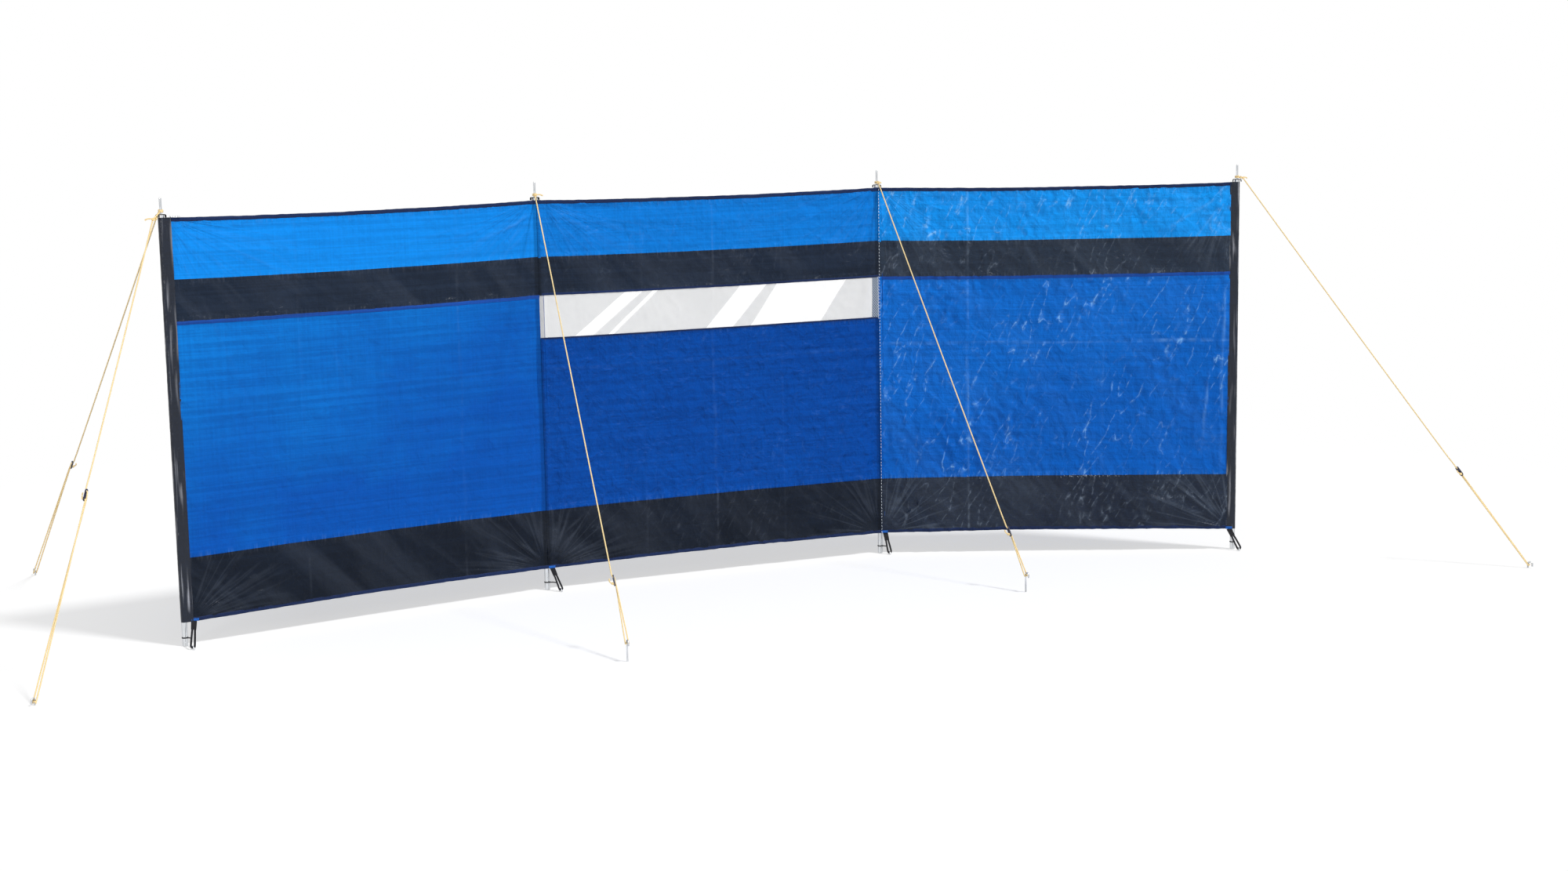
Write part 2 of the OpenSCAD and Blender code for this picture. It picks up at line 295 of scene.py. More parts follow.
def shell(middle, normal, thickness, u, v):
    """A thin closed sheet: the grid moved half the thickness to each side, and strips round its
    four edges."""
    rows, cols = middle.shape[:2]
    half = np.asarray(thickness)[..., None] / 2 * normal if np.ndim(thickness) else thickness / 2 * normal
    points = np.concatenate([(middle + half).reshape(-1, 3), (middle - half).reshape(-1, 3)])
    count = rows * cols
    uu, vv = np.broadcast_arrays(u, v)
    flat = np.stack([uu, vv], axis=-1).reshape(-1, 2)
    front, _, _ = grid_faces(rows, cols)
    back = front[:, ::-1] + count
    index = np.arange(count).reshape(rows, cols)
    edge = np.concatenate([index[:, 0], index[-1, 1:], index[-2::-1, -1], index[0, -2:0:-1]])
    after = np.roll(edge, -1)
    rim = np.stack([after, edge, edge + count, after + count], axis=1)
    quads = np.concatenate([front, back, rim])
    return Patch(points, quads, flat[quads % count])


def facing(patch_quads, points, towards):
    """True if the first quad of a grid faces the given direction."""
    a, b, c, _ = points[patch_quads[0]]
    return float(np.cross(b - a, c - a) @ towards) > 0


def frames(path, ref):
    """Unit vectors along a path, across it, and square to both. Across is square to a reference
    vector at each point."""
    path = np.asarray(path, float)
    t = unit(np.gradient(path, axis=0))
    across = unit(np.cross(t, np.broadcast_to(ref, path.shape)))
    return t, across, np.cross(across, t)


def lengths(path):
    """Distance along a path of each of its points."""
    return np.concatenate([[0.0], np.cumsum(np.linalg.norm(np.diff(path, axis=0), axis=1))])


def lengths_round(outline):
    """Distance round a closed outline of each of its points, and of its first point again."""
    return lengths(np.concatenate([outline, outline[:1]]))


def sweep(path, profile, ref, turn=0.0, scale=1.0, v_start=0.0):
    """A profile carried along an open path: each ring is the path's point plus the profile on the
    path's two cross vectors. Both ends are capped."""
    path = np.asarray(path, float)
    _, a, b = frames(path, ref)
    profile = np.asarray(profile, float)
    turn = np.broadcast_to(turn, len(path))[:, None]
    scale = np.broadcast_to(scale, len(path))[:, None]
    x = scale * (profile[None, :, 0] * np.cos(turn) - profile[None, :, 1] * np.sin(turn))
    y = scale * (profile[None, :, 0] * np.sin(turn) + profile[None, :, 1] * np.cos(turn))
    points = path[:, None] + x[..., None] * a[:, None] + y[..., None] * b[:, None]
    rows, cols = points.shape[:2]
    quads, ci, cj = grid_faces(rows, cols, wrap_cols=True)
    around = lengths_round(profile)
    corners = np.stack([around[cj], (v_start + lengths(path))[ci]], axis=-1)
    caps = [np.arange(cols), (rows - 1) * cols + np.arange(cols)[::-1]]
    return Patch(points, quads, corners, caps)


def circle(radius, sides=10):
    """Points of a circle, turning from the first cross vector to the second."""
    a = np.arange(sides) * 2 * np.pi / sides
    return radius * np.stack([np.cos(a), np.sin(a)], axis=1)


def flat_profile(width, thickness, sides=16, power=0.35):
    """A flat profile with round edges: a superellipse."""
    a = np.arange(sides) * 2 * np.pi / sides + np.pi / sides
    c, s = np.cos(a), np.sin(a)
    x = width / 2 * np.sign(c) * np.abs(c) ** power
    y = thickness / 2 * np.sign(s) * np.abs(s) ** 0.8
    return np.stack([x, y], axis=1)


def smooth(points, per=8):
    """A curve through all the points, by Catmull and Rom's cubic between each pair."""
    p = np.asarray(points, float)
    p = np.concatenate([[2 * p[0] - p[1]], p, [2 * p[-1] - p[-2]]])
    t = np.linspace(0, 1, per, endpoint=False)[None, :, None]
    a, b, c, d = (p[k:len(p) - 3 + k][:, None] for k in range(4))
    q = 0.5 * (2 * b + (c - a) * t + (2 * a - 5 * b + 4 * c - d) * t ** 2 + (3 * b - a - 3 * c + d) * t ** 3)
    return np.concatenate([q.reshape(-1, 3), p[-2:-1]])


def bead_template(length, radius, sides=6):
    """A short thread: rings of a few sides that narrow to both ends, along the first axis."""
    x = np.array([-0.5, -0.32, 0.32, 0.5]) * length
    r = np.array([0.45, 1.0, 1.0, 0.45]) * radius
    ring = circle(1.0, sides)
    y, z = (r[:, None] * ring[None, :, k] for k in (0, 1))
    points = np.stack([np.broadcast_to(x[:, None], (4, sides)), y, z], axis=-1)
    quads, ci, cj = grid_faces(4, sides, wrap_cols=True)
    caps = [np.arange(sides), 3 * sides + np.arange(sides)[::-1]]
    return points.reshape(-1, 3), quads, np.stack([cj / sides, x[ci]], axis=-1), caps


def stitches(at, along, out, length, radius):
    """One short thread at each given point, laid along the seam and half sunk in the cloth."""
    base, quads, corners, caps = bead_template(length, radius)
    at, along, out = (np.asarray(x, float) for x in (at, along, out))
    side = np.cross(out, along)
    points = (
        at[:, None] + base[None, :, :1] * along[:, None] + base[None, :, 1:2] * side[:, None]
        + 0.6 * base[None, :, 2:3] * out[:, None])
    shift = np.arange(len(at))[:, None, None] * len(base)
    many = [c + k for k in (np.arange(len(at)) * len(base)) for c in caps]
    return Patch(points, (quads[None] + shift).reshape(-1, 4), np.tile(corners, (len(at), 1, 1)), many)


def sewn(points, bay, length, radius):
    """Threads along a bay, at points on its sheeting."""
    count = len(points)
    return stitches(points, np.tile(ALONG[bay], (count, 1)), np.tile(FRONT[bay], (count, 1)), length, radius)


def placed(name, data):
    """A new object of the scene, with the given data."""
    piece = bpy.data.objects.new(name, data)
    bpy.context.scene.collection.objects.link(piece)
    return piece


def build(name, patch, material, replaces=(), sharp=math.radians(38), flip=False):
    """Puts a patch into a mesh object, with its UV map, material and body, and hides the parts it replaces.
    """
    if not len(patch.points):
        raise RuntimeError(f"{name} has no points")
    quads, corners, caps = patch.quads, patch.corners, patch.caps
    if flip:
        quads, corners, caps = quads[:, ::-1], corners[:, ::-1], [c[::-1] for c in caps]
    mesh = bpy.data.meshes.new(name)
    mesh.vertices.add(len(patch.points))
    mesh.vertices.foreach_set("co", patch.points.astype(np.float32).ravel())
    loops = np.concatenate([quads.ravel()] + list(caps)).astype(np.int32)
    sizes = np.concatenate([np.full(len(quads), 4), [len(c) for c in caps]]).astype(np.int32)
    mesh.loops.add(len(loops))
    mesh.loops.foreach_set("vertex_index", loops)
    mesh.polygons.add(len(sizes))
    mesh.polygons.foreach_set("loop_start", np.concatenate([[0], np.cumsum(sizes)[:-1]]).astype(np.int32))
    mesh.polygons.foreach_set("use_smooth", np.ones(len(sizes), bool))
    mesh.update(calc_edges=True)
    uv = mesh.uv_layers.new(name="cloth")
    flat = np.zeros((len(loops), 2), np.float32)
    flat[:len(quads) * 4] = corners.reshape(-1, 2)
    uv.data.foreach_set("uv", flat.ravel())
    # Painted highlight along crests, which the cloth's material reads to make its colour paler.
    if patch.crest_highlight is not None:
        mesh.attributes.new("crest_highlight", "FLOAT", "POINT").data.foreach_set(
            "value", patch.crest_highlight.astype(np.float32))
    mesh.set_sharp_from_angle(angle=sharp)
    mesh.materials.append(material)
    piece = placed(name, mesh)
    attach(piece, BODY)
    if replaces:
        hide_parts(*replaces)
    return piece


# -------------------------------------------------------- shape of the cloth

# Packing lines: for each bay, the distance of each upright line and its
# strength, then the height of each level line and its strength.
FOLDS = (
    (((1.09, 0.45), (0.47, 0.2)), ((0.85, 0.15),)),
    (((0.706, 1.0), (0.998, 0.3), (0.41, 0.3)), ((0.846, 0.9),)),
    (((0.36, 1.1), (0.90, 0.5)), ((0.859, 1.7),)),
)
# Single creases pulled from the poles: bay, distance and height at the start
# and at the end, strength.
PULLS = (
    (0, 1.405, 1.437, 1.17, 1.345, 1.9), (0, 1.40, 1.39, 1.22, 1.24, 0.6), (0, 1.41, 1.42, 1.05, 1.17, 0.5),
    (0, 0.04, 1.455, 0.62, 1.19, 0.6), (0, 0.04, 1.43, 0.42, 1.02, 0.5), (0, 0.035, 1.40, 0.30, 0.75, 0.35),
    (0, 0.58, 1.02, 0.66, 0.80, 0.45), (0, 0.60, 0.94, 0.90, 0.86, 0.25),
    (1, 0.015, 1.462, 0.52, 1.315, 0.6), (1, 0.012, 1.45, 0.40, 1.285, 0.5),
    (1, 0.012, 1.43, 0.30, 1.22, 0.35), (1, 0.02, 1.40, 0.16, 1.08, 0.4), (1, 1.40, 1.40, 1.16, 1.20, 0.4),
    (1, 0.02, 0.17, 0.26, 0.37, 0.5), (2, 1.385, 1.45, 1.13, 1.30, 0.8), (2, 1.38, 1.43, 1.20, 1.18, 0.9),
    (2, 1.385, 1.41, 1.28, 1.05, 0.6), (2, 1.383, 1.12, 1.376, 0.34, 1.5),
    (2, 1.325, 0.74, 1.297, 0.40, 1.3), (2, 0.05, 1.45, 0.22, 1.35, 0.6), (2, 0.25, 1.44, 0.16, 1.37, 0.5),
    (2, 1.37, 0.13, 1.12, 0.34, 0.9), (2, 1.37, 0.125, 1.02, 0.25, 0.7), (0, 1.41, 0.115, 1.16, 0.33, 0.8),
    (0, 1.41, 0.108, 1.03, 0.23, 0.5), (1, 0.015, 0.115, 0.13, 0.37, 0.8),
    (1, 0.015, 0.11, 0.22, 0.33, 0.6), (1, 0.015, 0.105, 0.36, 0.25, 0.4),
    (0, 0.045, 0.12, 0.26, 0.34, 0.9), (0, 0.045, 0.115, 0.36, 0.25, 0.5),
    (1, 1.395, 0.13, 1.20, 0.30, 0.4),
)
CRINKLE_SHARE = (0.55, 0.9, 1.7)
FAN_SHARE = (0.9, 0.9, 1.15)
FAN_REACH = 0.17


def corner_fan(ds, dz, seed):
    """Creases that fan out from a corner: narrow waves of the angle, highest a hand's width out,
    and fading beyond."""
    r = np.hypot(ds, dz)
    angle = np.arctan2(dz, ds)
    wander = 0.35 * noise(r / 0.13, angle * 2.2, seed)
    waves = sum(
        w * (0.5 + 0.5 * np.cos(k * (angle + wander) + seed * p)) ** 3
        for k, w, p in ((6.0, 0.80, 1.3), (11.0, 0.50, 2.1), (19.0, 0.15, 0.7))
    )
    patchy = np.clip(0.55 + 0.6 * noise(angle * 2.5, r / 0.5, seed + 9), 0, 1)
    reach = (r / FAN_REACH) * np.exp(1 - r / FAN_REACH)
    return (waves - 0.35) * patchy * reach


def packing_lines(bay, s, z):
    """Sharp low roofs along the packing lines, wavering a little, and the painted highlight along their
    crests.
    """
    upright, across = FOLDS[bay]
    total, crest_highlight = np.zeros(np.broadcast(s, z).shape), np.zeros(np.broadcast(s, z).shape)
    lines = [(s - at + 0.004 * noise(z / 0.23, at * 9, 31), z / 0.3, at, k) for at, k in upright]
    lines += [(z - at + 0.004 * noise(s / 0.27, at * 9, 33), s / 0.25, at, k) for at, k in across]
    for away, run, at, strength in lines:
        strength = strength * np.clip(0.75 + 0.8 * noise(run, at * 5, 32), 0.1, 1.4)
        roof = np.exp(-np.abs(away) / 0.022) - 0.6 * np.exp(-np.abs(away - 0.009) / 0.008)
        total = total + strength * roof
        broken = np.clip(0.6 + 1.2 * noise(run * 9, at * 5, 38), 0.1, 1)
        crest_highlight = crest_highlight + 0.5 * strength * broken * np.exp(-((away + 0.001) / 0.0034) ** 2)
    return total, crest_highlight


def pulled_creases(bay, s, z):
    """Long narrow ridges from the ends of the poles, each fading to its tips, and the painted highlight
    along their crests.
    """
    total, crest_highlight = np.zeros(np.broadcast(s, z).shape), np.zeros(np.broadcast(s, z).shape)
    for where, s0, z0, s1, z1, strength in PULLS:
        if where != bay:
            continue
        length = math.hypot(s1 - s0, z1 - z0)
        us, uz = (s1 - s0) / length, (z1 - z0) / length
        t = ((s - s0) * us + (z - z0) * uz) / length
        across = (s - s0) * uz - (z - z0) * us
        across = across + 0.012 * t * (1 - t) * 4 * noise(t * 2.2, s0 * 7 + z0, 36)
        fade = np.clip(t / 0.12, 0, 1) * np.clip((1.05 - t) / 0.7, 0, 1) * (t < 1.05)
        width = 0.006 + 0.010 * np.clip(t, 0, 1)
        total = total + strength * fade * np.exp(-np.abs(across) / width)
        broken = np.clip(0.6 + 0.8 * noise(t * length / 0.08, s0 * 11, 37), 0, 1)
        highlight_width = 0.0036 + 0.002 * np.clip(t, 0, 1)
        crest_highlight = crest_highlight + strength * fade * broken * np.exp(-(across / highlight_width) ** 2)
    return total, crest_highlight


def relief(bay, s, z, cloth):
    """How far the cloth stands in front of its plane: broad waves, fans from the four corners,
    pulled creases, packing lines and crinkles, all fading to nothing at the poles. Also, the strength
    of the painted highlight along its sharp crests, from 0 to 1."""
    s, z = np.broadcast_arrays(np.asarray(s, float), np.asarray(z, float))
    edge = np.minimum(s, SPAN - s)
    hem = np.minimum(z - FOOT_EDGE, TOP_EDGE - z)
    hold = 1 - np.exp(-np.clip(edge, 0, None) / 0.03)
    free = hold * (1 - 0.75 * np.exp(-np.clip(hem, 0, None) / 0.06))
    shift = 7.3 * bay
    broad = noise(s / 0.62 + shift, z / 0.55, 11)
    broad = broad + 0.5 * noise((s + 0.6 * z) / 0.22 + shift, (z - 0.4 * s) / 0.3, 12)
    corners = ((0, TOP_EDGE), (SPAN, TOP_EDGE), (0, FOOT_EDGE), (SPAN, FOOT_EDGE))
    fans = [
        corner_fan(np.abs(s - corner_s), np.abs(z - corner_z), 41 + 4 * bay + k)
        for k, (corner_s, corner_z) in enumerate(corners)
    ]
    lines, line_highlight = packing_lines(bay, s, z)
    pulls, pull_highlight = pulled_creases(bay, s, z)
    slant = s + 0.3 * z
    fine = (
        ridge(noise(slant / 0.085 + shift + 0.5 * noise(s / 0.1, z / 0.1, 24), z / 0.24, 21), 2.5)
        + 0.7 * ridge(noise(slant / 0.05 + shift, z / 0.07, 22), 2.0)
        + 0.6 * noise(s / 0.035 + shift, z / 0.05, 23)
    )
    patchy = np.clip(0.6 + 0.9 * noise(s / 0.3 + shift, z / 0.33, 25), 0.15, 1.4)
    bulge = -0.003 * np.exp(-((edge - 0.034) / 0.016) ** 2)
    height = (
        cloth.billow * 0.5 * broad * free
        + cloth.fan * FAN_SHARE[bay] * sum(fans) * hold
        + cloth.fold * lines * free
        + 1.3 * cloth.fold * pulls * hold
        + cloth.crinkle * CRINKLE_SHARE[bay] * fine * patchy * hold
        + bulge
    )
    crest_highlight = 1.5 * line_highlight + 0.7 * pull_highlight
    return height, np.clip(crest_highlight * hold, 0, 1)


def cloth_point(bay, s, z, cloth, lift=0.0):
    """A point of the sheeting: along the bay, up to its height less the sag of the edges, and out
    by the relief and the lift."""
    s, z = np.broadcast_arrays(np.asarray(s, float), np.asarray(z, float))
    u = np.clip(s / SPAN, 0, 1)
    t = (z - FOOT_EDGE) / (TOP_EDGE - FOOT_EDGE)
    arch = 4 * u * (1 - u) + 0.12 * noise(s / 0.28 + 3 * bay, 0.5, 51) * np.sin(np.pi * u)
    height = z - cloth.top_sag * arch * t ** 2 + cloth.foot_rise * arch * (1 - t) ** 2
    out = PLANE + relief(bay, s, z, cloth)[0] + lift
    flat = FEET[bay] + ALONG[bay] * s[..., None] + FRONT[bay] * out[..., None]
    return flat + UP * height[..., None]


def cloth_normal(bay, s, z, cloth):
    """Unit vector square to the sheeting, to its front, from small steps along and up."""
    d = 0.002
    a = cloth_point(bay, s + d, z, cloth) - cloth_point(bay, s - d, z, cloth)
    b = cloth_point(bay, s, z + d, cloth) - cloth_point(bay, s, z - d, cloth)
    return unit(np.cross(a, b))


def bay_ends(bay, cloth):
    """Where a bay's sheeting starts and stops: under the seam of an end sleeve, or mitred to the
    next bay in front of a middle pole."""
    left = cloth.end_reach - 0.004 if bay == 0 else PLANE * math.tan(pole_turn(bay) / 2)
    right = cloth.end_reach - 0.004 if bay == 2 else PLANE * math.tan(pole_turn(bay + 1) / 2)
    return left, SPAN - right


def strip(bay, low, high, cloth, lift=0.0, start=None, stop=None):
    """A closed strip of sheeting between two heights, on the shared shape of its bay. UV is the
    distance along the whole windbreak and the height, in metres."""
    first, last = bay_ends(bay, cloth)
    first = first if start is None else start
    last = last if stop is None else stop
    s = np.linspace(first, last, max(3, int(round((last - first) / cloth.step)) + 1))
    z = np.linspace(low, high, max(3, int(round((high - low) / cloth.step)) + 1))
    s, z = np.meshgrid(s, z, indexing="ij")
    middle = cloth_point(bay, s, z, cloth, lift)
    normal = cloth_normal(bay, s, z, cloth)
    patch = shell(middle, normal, cloth.thickness, s + bay * SPAN, z)
    patch.crest_highlight = np.tile(relief(bay, s, z, cloth)[1].ravel(), 2)
    return patch


def ribbon_on_cloth(bay, s, z, height, thickness, cloth, lift=0.0, pucker=0.25, grain=0.012):
    """A flat tape laid along the sheeting: a rounded profile of the given height and thickness
    carried along the bay, with small puckers."""
    centre = cloth_point(bay, s, np.full(s.shape, z), cloth, lift)
    profile = flat_profile(height, thickness, 12, 0.3)
    swell = 1 + pucker * noise(s / grain, bay + z * 7, 61)
    wander = 0.06 * height * noise(s / (2.2 * grain), bay - z * 5, 62)
    points = (
        centre[:, None]
        + (profile[None, :, 0] + wander[:, None])[..., None] * UP
        + (profile[None, :, 1] * swell[:, None])[..., None] * FRONT[bay]
    )
    rows, cols = points.shape[:2]
    quads, ci, cj = grid_faces(rows, cols, wrap_cols=True)
    around = lengths_round(profile)
    corners = np.stack([(s + bay * SPAN)[ci], z + around[cj]], axis=-1)
    caps = [np.arange(cols)[::-1], (rows - 1) * cols + np.arange(cols)]
    return Patch(points, quads[:, ::-1], corners[:, ::-1], caps)


# ---------------------------------------------------------------- materials

def add(tree, kind, settings=None, **inputs):
    """Adds a shader node. Inputs are named with _ for a space, or i0, i1 by number, and take a
    value or another node's socket."""
    node = tree.nodes.new("ShaderNode" + kind)
    for key, value in (settings or {}).items():
        setattr(node, key, value)
    for key, value in inputs.items():
        numbered = key[0] == "i" and key[1:].isdigit()
        socket = node.inputs[int(key[1:])] if numbered else node.inputs[key.replace("_", " ")]
        if isinstance(value, bpy.types.NodeSocket):
            tree.links.new(value, socket)
        else:
            socket.default_value = value
    return node


def maths(tree, operation, a, b=0.0, c=0.0, clamp=False):
    """Result of a Math node."""
    return add(tree, "Math", {"operation": operation, "use_clamp": clamp}, i0=a, i1=b, i2=c).outputs[0]


def vector_maths(tree, operation, *values):
    """Vector result of a Vector Math node."""
    inputs = {f"i{k}": value for k, value in enumerate(values)}
    return add(tree, "VectorMath", {"operation": operation}, **inputs).outputs[0]


def flat_noise(tree, vector, **inputs):
    """A Noise node in two dimensions."""
    return add(tree, "TexNoise", {"noise_dimensions": "2D"}, Vector=vector, **inputs)


def ranged(tree, value, low, high, to_low=0.0, to_high=1.0):
    """Result of a Map Range node, clamped."""
    return add(tree, "MapRange", {"clamp": True}, i0=value, i1=low, i2=high, i3=to_low, i4=to_high).outputs[0]


def mixed(tree, factor, a, b):
    """Colour between two others."""
    a, b = (
        x if isinstance(x, bpy.types.NodeSocket) or len(x) != 3 else (*x, 1.0)
        for x in (a, b)
    )
    return add(tree, "Mix", {"data_type": "RGBA"}, i0=factor, i6=a, i7=b).outputs[2]


def shaded(colour, share, lift=0.0):
    """A colour multiplied by a share and raised by a small amount."""
    return tuple(share * c + lift for c in colour)


def between(a, b, share):
    """A colour made of a share of the first colour and the rest of the second."""
    return tuple(share * p + (1 - share) * c for p, c in zip(a, b))


def larger(tree, mask, other):
    """The larger of two masks. The first may still be missing."""
    return other if mask is None else maths(tree, "MAXIMUM", mask, other)


def node_group(name, inputs, outputs):
    """An empty shader node group with named sockets: (tree, inputs' sockets, output node)."""
    tree = bpy.data.node_groups.new(name, "ShaderNodeTree")
    for label, kind, default in inputs:
        socket = tree.interface.new_socket(name=label, in_out="INPUT", socket_type=kind)
        if default is not None:
            socket.default_value = default
    for label in outputs:
        tree.interface.new_socket(name=label, in_out="OUTPUT", socket_type="NodeSocketFloat")
    return tree, tree.nodes.new("NodeGroupInput").outputs, tree.nodes.new("NodeGroupOutput")


def woven_group():
    """Flat tapes woven over and under, and their uneven shade from tape to tape."""
    tree, given, end = node_group(
        "woven tape",
        (("Vector", "NodeSocketVector", None), ("Pitch", "NodeSocketFloat", 0.0022)),
        ("Height", "Streak"),
    )
    parts = add(tree, "SeparateXYZ", Vector=given["Vector"]).outputs
    waves = [
        maths(tree, "SINE", maths(tree, "MULTIPLY", maths(tree, "DIVIDE", parts[k], given["Pitch"]), math.pi))
        for k in (0, 1)
    ]
    height = maths(tree, "MULTIPLY_ADD", maths(tree, "MULTIPLY", waves[0], waves[1]), 0.5, 0.5)
    shades = [
        flat_noise(
            tree, vector_maths(tree, "MULTIPLY", given["Vector"], scale),
            Scale=1.0, Detail=3.0, Roughness=0.6).outputs[0]
        for scale in ((2.4, 190.0, 1.0), (1.3, 62.0, 1.0), (120.0, 1.6, 1.0))
    ]
    streak = maths(
        tree, "MULTIPLY_ADD", shades[1], 0.5,
        maths(tree, "MULTIPLY_ADD", shades[0], 0.3, maths(tree, "MULTIPLY", shades[2], 0.2)))
    tree.links.new(height, end.inputs["Height"])
    tree.links.new(streak, end.inputs["Streak"])
    return tree


def crumple_group():
    """Small soft dents and facets, as in sheeting that has been packed often: their height, and a mask
    by which the cloth is given painted shade in its dents.
    """
    tree, given, end = node_group(
        "crumple",
        (("Vector", "NodeSocketVector", None), ("Scale", "NodeSocketFloat", 20.0)),
        ("Height", "Dents"),
    )
    bend = flat_noise(tree, given["Vector"], Scale=11.0, Detail=2.0).outputs["Color"]
    vector = vector_maths(tree, "MULTIPLY_ADD", bend, (0.05, 0.05, 0.0), given["Vector"])
    facets = add(
        tree, "TexVoronoi", {"voronoi_dimensions": "2D", "feature": "F1"}, Vector=vector,
        Scale=given["Scale"], Detail=1.0, Roughness=0.6)
    soft_scale = maths(tree, "MULTIPLY", given["Scale"], 1.5)
    soft = flat_noise(tree, vector, Scale=soft_scale, Detail=4.0, Roughness=0.6).outputs[0]
    height = maths(tree, "MULTIPLY_ADD", facets.outputs["Distance"], 0.5, soft)
    tree.links.new(height, end.inputs["Height"])
    tree.links.new(ranged(tree, height, 0.45, 1.05), end.inputs["Dents"])
    return tree


def glint_group():
    """Long thin broken creases that lean a little: their depth, a mask of the painted highlight along
    their crests, and a wider mask of painted sheen beside them.
    """
    tree, given, end = node_group(
        "glint",
        (
            ("Vector", "NodeSocketVector", None), ("Scale", "NodeSocketFloat", 16.0),
            ("Lean", "NodeSocketFloat", 0.45), ("Stretch", "NodeSocketFloat", 0.26),
        ),
        ("Height", "Painted highlight", "Painted sheen"),
    )
    parts = add(tree, "SeparateXYZ", Vector=given["Vector"]).outputs
    leaning = maths(tree, "SUBTRACT", parts[0], maths(tree, "MULTIPLY", parts[1], given["Lean"]))
    drawn = maths(tree, "MULTIPLY", parts[1], given["Stretch"])
    vector = add(tree, "CombineXYZ", i0=leaning, i1=drawn).outputs[0]
    shake = flat_noise(tree, given["Vector"], Scale=13.0, Detail=4.0, Roughness=0.65).outputs["Color"]
    vector = vector_maths(tree, "MULTIPLY_ADD", shake, (0.020, 0.012, 0.0), vector)
    lines = flat_noise(tree, vector, Scale=given["Scale"], Detail=1.5, Roughness=0.5).outputs[0]
    away = maths(tree, "ABSOLUTE", maths(tree, "SUBTRACT", lines, 0.5))
    broken = flat_noise(tree, given["Vector"], Scale=38.0, Detail=2.0).outputs[0]
    gaps = ranged(tree, broken, 0.42, 0.70)
    crest_highlight = maths(tree, "MULTIPLY", ranged(tree, away, 0.0, 0.011, 1.0, 0.0), gaps)
    tree.links.new(ranged(tree, away, 0.0, 0.09, 1.0, 0.0), end.inputs["Height"])
    tree.links.new(crest_highlight, end.inputs["Painted highlight"])
    tree.links.new(maths(tree, "MULTIPLY", ranged(tree, away, 0.0, 0.06, 1.0, 0.0), gaps), end.inputs["Painted sheen"])
    return tree


def fan_group():
    """Long soft creases that run out from a corner: noise of the angle round it, highest a hand's
    width out, with their depth, which also masks a painted sheen, and a mask of the painted highlight
    on their crests."""
    tree, given, end = node_group(
        "fan",
        (
            ("Vector", "NodeSocketVector", None), ("Corner", "NodeSocketVector", None),
            ("Reach", "NodeSocketFloat", 0.4), ("Lines", "NodeSocketFloat", 5.5),
        ),
        ("Height", "Painted highlight"),
    )
    away = vector_maths(tree, "SUBTRACT", given["Vector"], given["Corner"])
    parts = add(tree, "SeparateXYZ", Vector=away).outputs
    radius = add(tree, "VectorMath", {"operation": "LENGTH"}, i0=away).outputs["Value"]
    angle = maths(tree, "ARCTAN2", parts[1], maths(tree, "ABSOLUTE", parts[0]))
    place = add(
        tree, "CombineXYZ", i0=maths(tree, "MULTIPLY", angle, given["Lines"]),
        i1=maths(tree, "MULTIPLY", radius, 1.6)).outputs[0]
    place = vector_maths(tree, "ADD", place, given["Corner"])
    lines = flat_noise(tree, place, Scale=1.0, Detail=2.0, Roughness=0.5).outputs[0]
    off = maths(tree, "ABSOLUTE", maths(tree, "SUBTRACT", lines, 0.5))
    fade = maths(
        tree, "MULTIPLY", ranged(tree, radius, 0.02, 0.10),
        ranged(tree, maths(tree, "DIVIDE", radius, given["Reach"]), 0.1, 1.0, 1.0, 0.0))
    for label, reach in (("Height", 0.16), ("Painted highlight", 0.05)):
        height = maths(tree, "MULTIPLY", ranged(tree, off, 0.0, reach, 1.0, 0.0), fade)
        tree.links.new(height, end.inputs[label])
    return tree


def sheen_band_group():
    """Broad soft bands that lean across the cloth: a mask of painted sheen."""
    tree, given, end = node_group(
        "wave",
        (("Vector", "NodeSocketVector", None), ("Lean", "NodeSocketFloat", 0.9)),
        ("Mask",),
    )
    parts = add(tree, "SeparateXYZ", Vector=given["Vector"]).outputs
    across = maths(tree, "MULTIPLY_ADD", parts[1], given["Lean"], parts[0])
    place = add(
        tree, "CombineXYZ", i0=maths(tree, "MULTIPLY", across, 7.5),
        i1=maths(tree, "MULTIPLY", parts[1], 2.2)).outputs[0]
    broad = flat_noise(tree, place, Scale=1.0, Detail=3.0, Roughness=0.5, Distortion=0.5).outputs[0]
    tree.links.new(ranged(tree, broad, 0.42, 0.72), end.inputs["Mask"])
    return tree


def scuff_group():
    """Uneven fine scratches and dull patches on a hard surface, drawn out along one direction."""
    tree, given, end = node_group(
        "scuff",
        (
            ("Vector", "NodeSocketVector", None), ("Scale", "NodeSocketFloat", 60.0),
            ("Drawn", "NodeSocketFloat", 0.05),
        ),
        ("Mask", "Height"),
    )
    scale = add(tree, "CombineXYZ", i0=1.0, i1=1.0, i2=given["Drawn"]).outputs[0]
    vector = vector_maths(tree, "MULTIPLY", given["Vector"], scale)
    fine = add(tree, "TexNoise", Vector=vector, Scale=given["Scale"], Detail=4.0, Roughness=0.65).outputs[0]
    broad = add(tree, "TexNoise", Vector=given["Vector"], Scale=18.0, Detail=2.0).outputs[0]
    tree.links.new(
        ranged(tree, maths(tree, "MULTIPLY_ADD", broad, 0.6, fine), 0.55, 1.05), end.inputs["Mask"])
    tree.links.new(fine, end.inputs["Height"])
    return tree


GROUPS = {}


